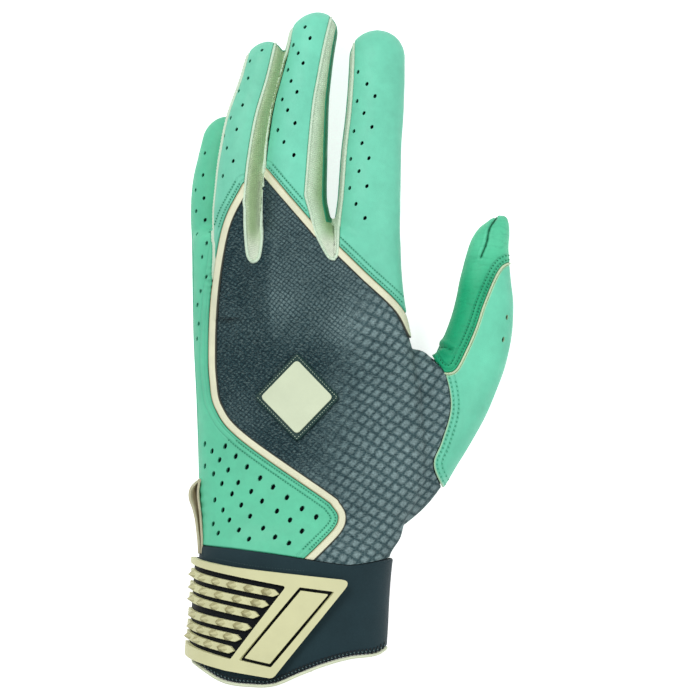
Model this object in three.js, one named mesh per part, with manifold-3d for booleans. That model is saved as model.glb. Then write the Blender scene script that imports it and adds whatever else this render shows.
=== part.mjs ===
import * as THREE from 'three';
import { mergeVertices } from 'three/addons/utils/BufferGeometryUtils.js';
import Module from 'manifold-3d';

// A left-hand batting glove, filled as on a hand, lying palm down.
// Lengths are in millimetres: x runs to the thumb, y to the fingertips, z up from the palm.
// Plan places are shares: x of the breadth across the knuckles, y of the glove's length.

const wasm = await Module();
wasm.setup();

// Driving sizes
const glove = { length: 244, breadth: 76, height: 30 };
const wall = 1.3;
const gap = 0.3;
const reach = 150;
const overrun = 2;
const weld = 0.0001;

// The hand inside the glove. A row holds the y share, x share and half width share, then,
// as shares of the height, half depth, middle height and the rise to the thumb side.
const hand = {
  rows: [
    [-0.46, -0.049, 0.447, 0.62, 0.7, 0],
    [-0.232, -0.049, 0.447, 0.62, 0.7, 0],
    [-0.205, -0.012, 0.458, 0.6, 0.64, 0.02],
    [-0.177, 0.021, 0.49, 0.6, 0.6, 0.06],
    [-0.133, 0.057, 0.535, 0.61, 0.585, 0.1],
    [-0.074, 0.066, 0.55, 0.6, 0.565, 0.12],
    [0, 0.047, 0.54, 0.565, 0.53, 0.14],
    [0.089, 0.012, 0.519, 0.53, 0.5, 0.14],
    [0.162, -0.012, 0.5, 0.51, 0.48, 0.14],
    [0.26, -0.019, 0.497, 0.5, 0.47, 0.14],
  ],
  breadth: glove.breadth,
  depth: glove.height,
  tipRound: 7.2,
  tipShrinkShares: { width: 0.18, depth: 0.75 },
  cornerShare: 0.87,
  sides: 28,
  steps: 12,
};

// Fingers. A row holds the y share, x share and, as shares of the finger's own breadth and
// depth, half width and half depth, then the middle height as a share of the glove's height.
const fingers = {
  index: {
    rows: [
      [0.118, 0.322, 0.47, 0.47, 0.56],
      [0.211, 0.327, 0.497, 0.5, 0.65],
      [0.295, 0.325, 0.5, 0.5, 0.65],
      [0.364, 0.336, 0.482, 0.48, 0.62],
      [0.42, 0.351, 0.462, 0.46, 0.59],
      [0.478, 0.362, 0.45, 0.45, 0.56],
      [0.546, 0.367, 0.44, 0.43, 0.52],
    ],
    breadth: 22.8,
    depth: 18.5,
    tipRound: 10,
  },
  middle: {
    rows: [
      [0.118, -0.009, 0.48, 0.47, 0.6],
      [0.295, -0.024, 0.5, 0.5, 0.68],
      [0.345, -0.017, 0.482, 0.49, 0.65],
      [0.387, -0.009, 0.466, 0.48, 0.63],
      [0.443, 0.009, 0.43, 0.46, 0.6],
      [0.468, 0.026, 0.401, 0.45, 0.58],
      [0.51, 0.05, 0.374, 0.43, 0.55],
      [0.572, 0.085, 0.37, 0.42, 0.52],
    ],
    breadth: 23.8,
    depth: 18.5,
    tipRound: 8.6,
  },
  ring: {
    rows: [
      [0.118, -0.303, 0.48, 0.48, 0.65],
      [0.221, -0.298, 0.49, 0.5, 0.755],
      [0.273, -0.301, 0.5, 0.5, 0.76],
      [0.308, -0.296, 0.484, 0.5, 0.76],
      [0.356, -0.282, 0.474, 0.49, 0.755],
      [0.418, -0.249, 0.449, 0.47, 0.735],
      [0.474, -0.199, 0.404, 0.44, 0.7],
      [0.529, -0.154, 0.385, 0.42, 0.67],
    ],
    breadth: 17.6,
    depth: 16.8,
    tipRound: 7.4,
  },
  pinky: {
    rows: [
      [0.118, -0.412, 0.49, 0.5, 0.3],
      [0.221, -0.419, 0.493, 0.5, 0.243],
      [0.291, -0.422, 0.5, 0.5, 0.243],
      [0.33, -0.412, 0.49, 0.49, 0.24],
      [0.364, -0.391, 0.462, 0.48, 0.235],
      [0.42, -0.355, 0.42, 0.46, 0.23],
    ],
    breadth: 15,
    depth: 14.4,
    tipRound: 7.2,
  },
};
for (const finger of Object.values(fingers)) {
  finger.tipShrinkShares = { width: 1, depth: 1 };
  finger.cornerShare = 1;
  finger.sides = 14;
  finger.steps = 6;
}

// The thumb has a frame of its own: its root is a plan place, and its rows run along its
// length, with y and x as shares of that length.
const thumb = {
  rows: [
    [-0.36, -0.1, 0.22, 0.3, 0.44],
    [-0.2, -0.045, 0.38, 0.44, 0.417],
    [0, 0, 0.44, 0.5, 0.41],
    [0.2, 0.035, 0.485, 0.5, 0.407],
    [0.387, 0.057, 0.475, 0.47, 0.38],
    [0.525, 0.064, 0.436, 0.42, 0.34],
    [0.648, 0.05, 0.398, 0.37, 0.3],
    [0.787, 0.022, 0.325, 0.33, 0.267],
    [0.9, 0, 0.29, 0.3, 0.243],
    [1, 0, 0.27, 0.29, 0.233],
  ],
  length: 88.8,
  breadth: 26.6,
  depth: 25,
  tipRound: 8.2,
  tipShrinkShares: { width: 1, depth: 1 },
  rootShares: [0.616, -0.074],
  lean: THREE.MathUtils.degToRad(16),
  cornerShare: 0.91,
  sides: 16,
  steps: 8,
};

// Seams of the back, in plan
const trimSeamShares = {
  trim_left: [
    [-0.256, 0.316], [-0.341, 0.266], [-0.384, 0.212], [-0.412, 0.148], [-0.422, 0.081],
    [-0.417, 0.03], [-0.388, -0.012], [-0.27, -0.055], [0.147, -0.146], [0.208, -0.171],
    [0.033, -0.239],
  ],
  trim_middle: [[-0.175, 0.338], [-0.071, 0.3], [0.047, 0.258]],
  trim_index: [[0.18, 0.22], [0.303, 0.183], [0.464, 0.136], [0.56, 0.082]],
};
const thumbSeamShares = [
  [0.587, 0.091], [0.63, 0.062], [0.696, 0.031], [0.715, -0.012], [0.673, -0.062],
  [0.635, -0.094], [0.668, -0.124], [0.734, -0.156],
];
const pipingSeamShares = [
  [1.052, 0.202], [0.99, 0.202], [0.943, 0.187], [0.881, 0.143], [0.843, 0.108],
  [0.796, 0.074], [0.744, 0.044], [0.682, 0.037], [0.63, 0.049], [0.597, 0.071],
];
const tipSeamShares = [[0.952, 0.291], [0.909, 0.255], [0.886, 0.229], [0.876, 0.198], [0.909, 0.162]];
const cuffTopShares = [
  [-0.616, -0.224], [-0.459, -0.218], [-0.18, -0.224], [0.147, -0.24], [0.261, -0.243],
  [0.431, -0.235], [0.568, -0.226],
];
const cuffBottomShares = [
  [-0.616, -0.369], [-0.521, -0.385], [-0.369, -0.418], [-0.223, -0.425], [0, -0.41],
  [0.218, -0.387], [0.412, -0.369], [0.521, -0.361],
];

// Gussets between the fingers. The seam to the leather lies at a share of the finger's half
// width, given at its web and at its tip, and the strip ends at the places listed.
const gussets = {
  gusset_index_left: {
    finger: 'index', side: -1, seamShares: [0.84, 0.84], webShare: 0.257, endShares: [[0.182, 0.217]],
  },
  gusset_middle_right: {
    finger: 'middle', side: 1, seamShares: [0.35, 0.5], webShare: 0.28,
    endShares: [[0.043, 0.252], [0.085, 0.226], [0.142, 0.202], [0.171, 0.207], [0.189, 0.221]],
  },
  gusset_middle_left: {
    finger: 'middle', side: -1, seamShares: [0.84, 0.84], webShare: 0.251, endShares: [],
  },
  gusset_ring_right: {
    finger: 'ring', side: 1, seamShares: [0.28, 0.4], webShare: 0.26,
    endShares: [[-0.261, 0.242], [-0.246, 0.212], [-0.223, 0.201], [-0.194, 0.211], [-0.18, 0.236]],
  },
  gusset_ring_left: {
    finger: 'ring', side: -1, seamShares: [0.84, 0.84], webShare: 0.24, endShares: [],
  },
  gusset_pinky_right: {
    finger: 'pinky', side: 1, seamShares: [0.62, 0.62], webShare: 0.24, endShares: [],
  },
};

// Heights of the parting line between the back and the palm side
const parting = { fingerShare: 0.05, blendTopShare: 0.273, blendEndShare: 0.214, endShare: 0.2 };

const backSplitShare = 0.215;

const trim = { width: 3, proud: 0.4 };
const piping = { width: 1.6, proud: 0.6 };
const badge = { stand: 0.9, face: 0.8, rim: 1.8, halfWidthShare: 0.17, halfHeightShare: 0.055 };
const badgeMiddleShares = [-0.014, 0.004];

const cuff = { proud: 0.6, lining: 0.9, liningInset: 5, hem: 1.6, hemProud: 0.4 };
const patch = { thickness: 0.35 };
const strap = { backing: 1, plate: 1.2, border: 3 };
const rib = { height: 1.3, width: 3 };
const stud = { height: 1.3, root: 0.6, length: 6, topLength: 3.8, width: 3, pitch: 6.5, endSpace: 4.6 };
const anchorReachShare = 0.72;
const strapOutlineShares = [
  [-0.711, -0.221], [-0.516, -0.23], [0.189, -0.262], [0.225, -0.271], [0.215, -0.284],
  [-0.133, -0.411], [-0.545, -0.369], [-0.711, -0.354],
];
const windowOutlineShares = [
  [-0.711, -0.236], [-0.502, -0.248], [-0.062, -0.276], [-0.327, -0.382], [-0.532, -0.362],
  [-0.711, -0.348],
];
const labelOutlineShares = [[0, -0.277], [0.147, -0.285], [-0.142, -0.392], [-0.27, -0.385]];
const patchOutlineShares = [[-0.25, -0.26], [0.1, -0.275], [-0.13, -0.37], [-0.4, -0.36]];
const ribLineShares = [
  [[-0.532, -0.255], [-0.099, -0.286]],
  [[-0.535, -0.273], [-0.144, -0.302]],
  [[-0.545, -0.292], [-0.194, -0.319]],
  [[-0.545, -0.31], [-0.232, -0.336]],
  [[-0.552, -0.329], [-0.277, -0.353]],
  [[-0.554, -0.347], [-0.308, -0.37]],
];

// The pull tab stands off the side of the glove by shares of its bulge, from top to cuff
const pullTab = { thickness: 0.9, width: 9, bulge: 3.4, topShare: -0.115, endShare: -0.212 };
const pullTabBulgeShares = [0, 0.75, 1, 0.9, 0.6, 0.35, 0.2, 0.15];

// A plan place in millimetres
const at = ([x, y]) => new THREE.Vector2(x * glove.breadth, y * glove.length);

// Triangles as a closed solid, turned so that its faces point out
function solidFrom(positions, triangles) {
  let volume = 0;
  const [a, b, c] = [new THREE.Vector3(), new THREE.Vector3(), new THREE.Vector3()];
  for (const [i, j, k] of triangles) {
    volume += a.copy(positions[i]).dot(b.copy(positions[j]).cross(c.copy(positions[k])));
  }
  const order = volume < 0 ? triangles.map(([i, j, k]) => [i, k, j]) : triangles;
  return new wasm.Manifold(new wasm.Mesh({
    numProp: 3,
    vertProperties: new Float32Array(positions.flatMap((p) => p.toArray())),
    triVerts: new Uint32Array(order.flat()),
  }));
}

// A three.js geometry as a solid
function solidOf(source) {
  const geometry = source.index ? source : source.clone();
  geometry.deleteAttribute('normal');
  geometry.deleteAttribute('uv');
  const merged = mergeVertices(geometry, weld);
  return new wasm.Manifold(new wasm.Mesh({
    numProp: 3,
    vertProperties: new Float32Array(merged.attributes.position.array),
    triVerts: new Uint32Array(merged.index.array),
  }));
}

// A loft through rings of equally many points, with flat ends
function loft(rings) {
  const count = rings[0].length;
  const positions = rings.flat();
  const triangles = [];
  for (let r = 0; r < rings.length - 1; r += 1) {
    for (let i = 0; i < count; i += 1) {
      const near = r * count + i;
      const next = r * count + ((i + 1) % count);
      triangles.push([near, next, next + count], [near, next + count, near + count]);
    }
  }
  const last = (rings.length - 1) * count;
  for (let i = 1; i < count - 1; i += 1) {
    triangles.push([0, i + 1, i], [last, last + i, last + i + 1]);
  }
  return solidFrom(positions, triangles);
}

const { clamp, lerp, degToRad, smoothstep } = THREE.MathUtils;
const joined = (solids) => solids.reduce((all, solid) => all.add(solid));

// A plan outline raised through the whole height
function prism(points, low = -reach, high = reach) {
  const geometry = new THREE.ExtrudeGeometry(new THREE.Shape(points), {
    depth: high - low,
    bevelEnabled: false,
  });
  geometry.translate(0, 0, low);
  return solidOf(geometry);
}

// Points of a smooth line through plan places
function smooth(shares, perSpan = 2) {
  const curve = new THREE.SplineCurve(shares.map(at));
  return curve.getPoints((shares.length - 1) * perSpan);
}

// The outline of a ribbon of even width along a plan line
function ribbonOutline(line, halfWidth) {
  const sides = [1, -1].map((side) => line.map((point, i) => {
    const before = line[Math.max(i - 1, 0)];
    const after = line[Math.min(i + 1, line.length - 1)];
    const across = after.clone().sub(before).normalize().rotateAround(new THREE.Vector2(), Math.PI / 2);
    return point.clone().addScaledVector(across, side * halfWidth);
  }));
  return [...sides[0], ...sides[1].reverse()];
}
const ribbon = (line, halfWidth) => prism(ribbonOutline(line, halfWidth));

// A closed plan outline with each side moved outward
function outset(points, by) {
  const turn = THREE.ShapeUtils.isClockWise(points) ? 1 : -1;
  return points.map((point, i) => {
    const before = points[(i + points.length - 1) % points.length];
    const after = points[(i + 1) % points.length];
    const [first, second] = [point.clone().sub(before), after.clone().sub(point)].map((side) => side
      .normalize().rotateAround(new THREE.Vector2(), (turn * Math.PI) / 2));
    const miter = first.clone().add(second);
    return point.clone().addScaledVector(miter, (2 * by) / miter.lengthSq());
  });
}

// Forms: the hand, the fingers and the thumb
function readRows(body) {
  const along = body.length ?? glove.length;
  const across = body.length ?? glove.breadth;
  const rows = body.rows.map(([y, x, halfWidth, halfDepth, ...heights]) => [
    y * along, x * across, halfWidth * body.breadth, halfDepth * body.depth,
    ...heights.map((height) => height * glove.height),
  ]);
  const places = new Float32Array(rows.map((row) => row[0]));
  const values = new Float32Array(rows.flatMap((row) => row.slice(1)));
  const columns = rows[0].length - 1;
  body.curve = new THREE.CubicInterpolant(places, values, columns, new Float32Array(columns));
  body.root = places[0];
  body.tip = places[places.length - 1];
}
[hand, thumb, ...Object.values(fingers)].forEach(readRows);

// The section of a body across its length, grown outward by a depth
function sectionAt(body, y, grow = 0) {
  const [x, halfWidth, halfDepth, z, rise = 0] = body.curve.evaluate(clamp(y, body.root, body.tip));
  const domeStart = body.tip - body.tipRound;
  const past = Math.max(0, (y - domeStart) / (body.tipRound + grow));
  const drawn = 1 - Math.sqrt(Math.max(0, 1 - past * past));
  return {
    x,
    z,
    rise,
    cornerShare: body.cornerShare,
    halfWidth: (halfWidth + grow) * (1 - body.tipShrinkShares.width * drawn),
    halfDepth: (halfDepth + grow) * (1 - body.tipShrinkShares.depth * drawn),
  };
}

// Where a body's own frame lies in the glove
function placed(body, point) {
  if (!body.lean) return point;
  const root = at(body.rootShares);
  return point.applyAxisAngle(new THREE.Vector3(0, 0, 1), -body.lean)
    .add(new THREE.Vector3(root.x, root.y, 0));
}

// A point on a section's rounded outline, from the thumb side round over the back
function outlinePoint(section, angle, y) {
  const [c, s] = [Math.cos(angle), Math.sin(angle)];
  const across = Math.sign(c) * Math.abs(c) ** section.cornerShare;
  const up = Math.sign(s) * Math.abs(s) ** section.cornerShare;
  return new THREE.Vector3(
    section.x + section.halfWidth * across,
    y,
    section.z + section.halfDepth * up + section.rise * across,
  );
}

const tipAngles = [25, 48, 68, 84].map(degToRad);
function bodySolid(body, grow) {
  const domeStart = body.tip - body.tipRound;
  const places = [];
  for (let i = 0; i <= body.steps; i += 1) {
    places.push(lerp(body.root, domeStart, i / body.steps));
  }
  for (const angle of tipAngles) places.push(domeStart + (body.tipRound + grow) * Math.sin(angle));
  const rings = places.map((y) => {
    const section = sectionAt(body, y, grow);
    return Array.from({ length: body.sides }, (_, i) => placed(
      body,
      outlinePoint(section, (2 * Math.PI * i) / body.sides, y),
    ));
  });
  return loft(rings);
}

// The whole form with its flat underside, grown outward from the leather's face
const bodies = [hand, thumb, ...Object.values(fingers)];
function form(grow) {
  const above = solidOf(new THREE.BoxGeometry(2 * reach, 2 * reach, reach)
    .translate(0, 0, reach / 2 - Math.min(grow, 0)));
  return joined(bodies.map((body) => bodySolid(body, grow))).intersect(above);
}
const cavity = form(-wall);
const shell = form(0).subtract(cavity);
const trimShell = form(trim.proud).subtract(cavity);
const pipingShell = form(piping.proud).subtract(cavity);

// The half space on one side of the parting between a finger and the next, moved by a depth
const order = ['pinky', 'ring', 'middle', 'index'];
function besideParting(first, side, move) {
  const pair = [fingers[order[first]], fingers[order[first + 1]]];
  const span = 2 * glove.breadth;
  const low = glove.length * parting.endShare;
  const high = Math.max(pair[0].tip, pair[1].tip) + overrun;
  const steps = 7;
  const rings = Array.from({ length: steps + 1 }, (_, i) => {
    const y = lerp(low, high, i / steps);
    const [a, b] = pair.map((finger) => {
      const [x, halfWidth, halfDepth, z] = finger.curve.evaluate(clamp(y, finger.root, finger.tip));
      return { x, z, halfWidth, halfDepth };
    });
    const toward = new THREE.Vector2(b.x - a.x, b.z - a.z);
    const distance = toward.length();
    toward.normalize();
    const radius = (s) => 1 / Math.hypot(toward.x / s.halfWidth, toward.y / s.halfDepth);
    const middle = new THREE.Vector2(a.x, a.z)
      .addScaledVector(toward, (radius(a) + distance - radius(b)) / 2 + move);
    const along = new THREE.Vector2(-toward.y, toward.x);
    const corner = (u, v) => {
      const p = middle.clone().addScaledVector(toward, u).addScaledVector(along, v);
      return new THREE.Vector3(p.x, y, p.y);
    };
    return [
      corner(0, span), corner(0, 0), corner(0, -span), corner(side * span, -span), corner(side * span, span),
    ];
  });
  return loft(rings);
}

// Each finger's own zone, from the tips to where the webs end, grown by a depth
function zone(name, grow) {
  const i = order.indexOf(name);
  const sides = [];
  if (i > 0) sides.push(besideParting(i - 1, 1, -grow));
  if (i < order.length - 1) sides.push(besideParting(i, -1, grow));
  return sides.reduce((all, side) => all.intersect(side));
}
const zones = Object.fromEntries(order.map((name) => [name, zone(name, -gap / 2)]));
const wideZones = Object.fromEntries(order.map((name) => [name, zone(name, gap / 2)]));

// Height of the parting line at a place along a body
function partingHeight(body, y) {
  const own = sectionAt(body, Math.min(y, body.tip));
  const ownHeight = own.z - parting.fingerShare * body.depth;
  if (body === hand || body === thumb) return ownHeight;
  const base = sectionAt(hand, y);
  const baseHeight = base.z - parting.fingerShare * hand.depth;
  const from = parting.blendEndShare * glove.length;
  const to = parting.blendTopShare * glove.length;
  return lerp(baseHeight, ownHeight, smoothstep(y, from, to));
}

// Everything under a body's parting line, raised by a depth
function under(body, low, high, raise) {
  const steps = 7;
  const rings = Array.from({ length: steps + 1 }, (_, i) => {
    const y = lerp(low, high, i / steps);
    const top = partingHeight(body, y) + raise;
    return [[-reach, -reach], [reach, -reach], [reach, top], [-reach, top]]
      .map(([x, z]) => placed(body, new THREE.Vector3(x, y, z)));
  });
  return loft(rings);
}

const handTop = glove.length * parting.blendEndShare;
function underBack(raise) {
  const handPart = under(hand, hand.root - overrun, handTop, raise);
  const fingerParts = order.map((name) => wideZones[name]
    .intersect(under(fingers[name], handTop - overrun, fingers[name].tip + overrun, raise)));
  return joined([handPart, ...fingerParts]);
}
const palmSide = underBack(0);
const raisedPalmSide = underBack(gap);
const thumbReach = [thumb.root - reach / 2, thumb.tip + reach / 2];
const thumbPalmSide = under(thumb, ...thumbReach, 0);
const raisedThumbPalmSide = under(thumb, ...thumbReach, gap);

// Plan regions
const corner = (x, y) => new THREE.Vector2(x, y);
const thumbSeam = smooth(thumbSeamShares);
const thumbRegion = prism([
  ...thumbSeam, corner(reach, thumbSeam.at(-1).y), corner(reach, reach), corner(thumbSeam[0].x, reach),
]);
const cuffTop = smooth(cuffTopShares);
const cuffBottom = smooth(cuffBottomShares);
const belowCuffTop = prism([
  corner(-reach, cuffTop[0].y), ...cuffTop, corner(reach, cuffTop.at(-1).y), corner(reach, -reach),
  corner(-reach, -reach),
]);
const aboveCuffBottom = prism([
  corner(-reach, cuffBottom[0].y), ...cuffBottom, corner(reach, cuffBottom.at(-1).y),
  corner(reach, reach), corner(-reach, reach),
]);
const trimSeams = Object.fromEntries(Object.entries(trimSeamShares)
  .map(([name, shares]) => [name, smooth(shares)]));
const trimLeftUpward = [...trimSeams.trim_left].reverse();
const knitRegion = prism([
  ...trimLeftUpward, ...trimSeams.trim_middle, ...trimSeams.trim_index,
  corner(thumbSeam[0].x, trimSeams.trim_index.at(-1).y),
  ...thumbSeam, corner(thumbSeam.at(-1).x, -reach / 2), corner(trimLeftUpward[0].x, -reach / 2),
]);

// Gussets between the fingers, each a strip on one finger's side
function gussetRegion({ finger, side, seamShares, webShare, endShares }, grow) {
  const body = fingers[finger];
  const spans = 6;
  const low = webShare * glove.length;
  const along = Array.from({ length: spans + 1 }, (_, i) => {
    const y = lerp(body.tip, low, i / spans);
    const [x, halfWidth] = body.curve.evaluate(y);
    return corner(x + side * halfWidth * lerp(seamShares[1], seamShares[0], i / spans), y);
  });
  const seam = [along[0].clone().add(corner(0, body.breadth)), ...along, ...endShares.map(at)];
  const last = seam.at(-1);
  const far = Math.max(...seam.map((p) => side * p.x)) + body.breadth;
  const region = prism([...seam, corner(side * far, last.y), corner(side * far, seam[0].y)]);
  if (grow === 0) return region;
  return region.add(ribbon([...seam, corner(side * far, last.y)], grow));
}
const wideGussets = joined(Object.values(gussets).map((gusset) => gussetRegion(gusset, gap)
  .intersect(wideZones[gusset.finger])));

// What every panel of the back keeps clear of
const seamCuts = joined([
  ...Object.values(trimSeams).map((seam) => ribbon(seam, trim.width / 2 + gap)),
  ribbon(thumbSeam, gap / 2),
  ribbon(cuffTop, gap / 2),
]);
const upperShell = shell.subtract(raisedPalmSide).subtract(thumbRegion).subtract(belowCuffTop);
const leatherShell = upperShell.subtract(seamCuts).subtract(wideGussets);

// Where a seam only grazes a surface the cut leaves a crumb, which no panel keeps
const crumb = wall ** 3;
const withoutCrumbs = (solid) => joined(solid.decompose().filter((body) => body.volume() > crumb));

const parts = new THREE.Group();
function addPart(name, solid, color, roughness, metalness = 0) {
  const mesh = withoutCrumbs(solid).getMesh();
  const geometry = new THREE.BufferGeometry();
  geometry.setAttribute('position', new THREE.BufferAttribute(mesh.vertProperties, 3));
  geometry.setIndex(new THREE.BufferAttribute(mesh.triVerts, 1));
  geometry.computeVertexNormals();
  const part = new THREE.Mesh(geometry, new THREE.MeshStandardMaterial({ color, roughness, metalness }));
  part.name = name;
  parts.add(part);
}
const mint = 0x74d2b4;
const deepMint = 0x2aa97a;
const pale = 0xbcd4b4;
const cream = 0xd9dcb4;
const navy = 0x273b41;
const knitColour = 0x4a6468;
const badgeColour = 0x0c3a3c;
const hookColour = 0x1a2227;

// Back of the hand and fingers
const webLine = glove.length * parting.endShare;
const backSplit = backSplitShare * glove.breadth;
const beyondWebs = (side) => prism([
  corner(backSplit, -reach), corner(side * reach, -reach), corner(side * reach, webLine),
  corner(backSplit, webLine),
]);
const backRegions = {
  index: zones.index.add(beyondWebs(1)),
  middle: zones.middle,
  ring: zones.ring,
  pinky: zones.pinky.add(beyondWebs(-1)),
};
for (const name of order) {
  const panel = leatherShell.intersect(backRegions[name]).subtract(knitRegion);
  addPart(`${name}_back_leather`, panel, mint, 0.5);
}
const knit = leatherShell.intersect(knitRegion).subtract(wideZones.pinky);
addPart('back_knit_panel', knit, knitColour, 0.9);
for (const [name, seam] of Object.entries(trimSeams)) {
  const band = trimShell.intersect(ribbon(seam, trim.width / 2)).subtract(raisedPalmSide)
    .subtract(wideZones.pinky).subtract(wideGussets).subtract(thumbRegion).subtract(belowCuffTop)
    .subtract(ribbon(cuffTop, gap / 2)).subtract(ribbon(thumbSeam, gap / 2));
  addPart(name, band, cream, 0.6);
}
for (const [name, gusset] of Object.entries(gussets)) {
  const strip = shell.intersect(gussetRegion(gusset, 0)).intersect(zones[gusset.finger])
    .subtract(raisedPalmSide);
  addPart(name, strip, pale, 0.85);
}

// Palm side
const palmShell = shell.intersect(palmSide).subtract(thumbRegion).subtract(belowCuffTop)
  .subtract(ribbon(cuffTop, gap / 2)).subtract(ribbon(thumbSeam, gap / 2));
const belowWebs = prism([
  corner(-reach, -reach), corner(reach, -reach), corner(reach, webLine - gap / 2),
  corner(-reach, webLine - gap / 2),
]);
const pastWebs = prism([
  corner(-reach, webLine + gap / 2), corner(reach, webLine + gap / 2), corner(reach, reach),
  corner(-reach, reach),
]);
addPart('palm_leather', palmShell.intersect(belowWebs), mint, 0.55);
for (const name of order) {
  const front = palmShell.intersect(pastWebs).intersect(zones[name]);
  const own = name === 'pinky' ? front.subtract(wideZones.middle) : front;
  addPart(`${name}_front_leather`, own, mint, 0.55);
}

// Thumb
const thumbShell = shell.intersect(thumbRegion).subtract(ribbon(thumbSeam, gap / 2));
const pipingSeam = smooth(pipingSeamShares);
const belowPiping = prism([
  ...pipingSeam, corner(pipingSeam.at(-1).x, -reach), corner(reach, -reach),
  corner(reach, pipingSeam[0].y),
]);
const tipSeam = smooth(tipSeamShares);
const tipRegion = prism([
  ...tipSeam, corner(reach, tipSeam.at(-1).y), corner(reach, tipSeam[0].y),
]).subtract(belowPiping);
const thumbBack = thumbShell.subtract(raisedThumbPalmSide)
  .subtract(ribbon(pipingSeam, piping.width / 2 + gap));
addPart('thumb_back_leather', thumbBack.intersect(belowPiping), mint, 0.5);
addPart('thumb_inner_leather', thumbBack.subtract(belowPiping).subtract(tipRegion)
  .subtract(ribbon(tipSeam, gap)), deepMint, 0.5);
const thumbFront = thumbShell.intersect(thumbPalmSide)
  .add(thumbShell.intersect(tipRegion).subtract(ribbon(pipingSeam, piping.width / 2 + gap)));
addPart('thumb_front_leather', thumbFront, mint, 0.55);
const pipingCord = pipingShell.intersect(thumbRegion).subtract(raisedThumbPalmSide)
  .subtract(ribbon(thumbSeam, gap / 2)).intersect(ribbon(pipingSeam, piping.width / 2));
addPart('thumb_piping', pipingCord, cream, 0.6);

// Layers that follow the hand's form
const layer = (from, to) => bodySolid(hand, to).subtract(bodySolid(hand, from));

// Badge: a plain four-cornered plate with nothing on it
function badgeOutline(grow) {
  const middle = at(badgeMiddleShares);
  const across = badge.halfWidthShare * glove.breadth + grow;
  const along = badge.halfHeightShare * glove.length + grow;
  return [corner(middle.x - across, middle.y), corner(middle.x, middle.y - along),
    corner(middle.x + across, middle.y), corner(middle.x, middle.y + along)];
}
const upward = solidOf(new THREE.BoxGeometry(2 * reach, 2 * reach, reach)
  .translate(0, 0, reach / 2 + glove.height / 2));
const badgeBase = layer(gap, gap + badge.stand).intersect(prism(badgeOutline(badge.rim)));
addPart('badge_base', badgeBase.intersect(upward), badgeColour, 0.6);
const badgeFace = layer(2 * gap + badge.stand, 2 * gap + badge.stand + badge.face)
  .intersect(prism(badgeOutline(0)));
addPart('badge_face', badgeFace.intersect(upward), cream, 0.5);

// Cuff
const hemLine = ribbon(cuffBottom, cuff.hem / 2);
const wideHemLine = ribbon(cuffBottom, cuff.hem / 2 + gap);
const cuffRegion = belowCuffTop.intersect(aboveCuffBottom).subtract(ribbon(cuffTop, gap / 2))
  .subtract(wideHemLine);
const patchRegion = (grow) => prism(outset(patchOutlineShares.map(at), grow));
const loopSeat = layer(cuff.proud - patch.thickness - gap, cuff.proud + overrun)
  .intersect(patchRegion(gap)).intersect(upward);
addPart('cuff_band', layer(-wall, cuff.proud).intersect(cuffRegion).subtract(loopSeat), navy, 0.8);
addPart('cuff_hem_binding', layer(-wall, cuff.proud + cuff.hemProud).intersect(hemLine), cream, 0.7);
const liningRegion = prism(cuffTop.map((p) => p.clone().sub(corner(0, cuff.liningInset)))
  .concat(cuffBottom.map((p) => p.clone().add(corner(0, cuff.liningInset))).reverse()));
const lining = layer(-wall - gap - cuff.lining, -wall - gap).intersect(liningRegion);
addPart('cuff_lining', lining, navy, 0.9);
const loopPatch = layer(cuff.proud - patch.thickness, cuff.proud).intersect(patchRegion(0));
addPart('loop_patch', loopPatch.intersect(upward), navy, 0.95);

// Strap: its hinge is the fold at the little-finger side of the cuff
const strapPlace = ((strapOutlineShares[1][1] + strapOutlineShares[5][1]) / 2) * glove.length;
const wrist = sectionAt(hand, strapPlace);
const hingeHeight = wrist.z;
const aboveHinge = (rise) => solidOf(new THREE.BoxGeometry(2 * reach, 2 * reach, reach)
  .translate(0, 0, hingeHeight + rise + reach / 2));
const strapBottom = cuff.proud + gap;
const strapFace = strapBottom + strap.backing;
const strapRegion = prism(strapOutlineShares.map(at));
const hookSeat = layer(strapBottom - gap, strapBottom + patch.thickness + gap)
  .intersect(patchRegion(gap)).intersect(upward);
const backing = layer(strapBottom, strapFace).intersect(strapRegion).intersect(aboveHinge(gap))
  .subtract(hookSeat);
addPart('strap_backing', backing, navy, 0.8);
const hookPatch = layer(strapBottom, strapBottom + patch.thickness).intersect(patchRegion(0));
addPart('hook_patch', hookPatch.intersect(upward), hookColour, 0.9);
const anchorEnd = solidOf(new THREE.BoxGeometry(2 * reach, 2 * reach, reach)
  .translate(-anchorReachShare * wrist.halfWidth - reach + wrist.x, 0, hingeHeight - reach / 2));
const anchor = layer(strapBottom, strapFace).intersect(strapRegion).intersect(anchorEnd);
addPart('strap_anchor', anchor, navy, 0.8);

const plateBottom = strapFace + gap;
const windowRegion = prism(windowOutlineShares.map(at)).intersect(aboveHinge(gap + strap.border));
const labelRegion = (grow) => prism(outset(labelOutlineShares.map(at), grow));
const plate = layer(plateBottom, plateBottom + strap.plate).intersect(strapRegion)
  .intersect(aboveHinge(gap)).subtract(windowRegion).subtract(labelRegion(gap).intersect(upward));
addPart('strap_plate', plate, cream, 0.55);
const label = layer(plateBottom, plateBottom + strap.plate).intersect(labelRegion(0));
addPart('strap_label_panel', label.intersect(upward), cream, 0.55);

// A six-sided stud that narrows upward, its length along x and its height along z
function studSolid() {
  const tall = stud.height + stud.root;
  const cylinder = new THREE.CylinderGeometry(stud.topLength / 2, stud.length / 2, tall, 6);
  cylinder.rotateY(Math.PI / 2);
  cylinder.rotateX(Math.PI / 2);
  cylinder.translate(0, 0, tall / 2);
  const broad = stud.length * Math.sin(Math.PI / 3);
  cylinder.scale(1, stud.width / broad, 1);
  return cylinder;
}

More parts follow.
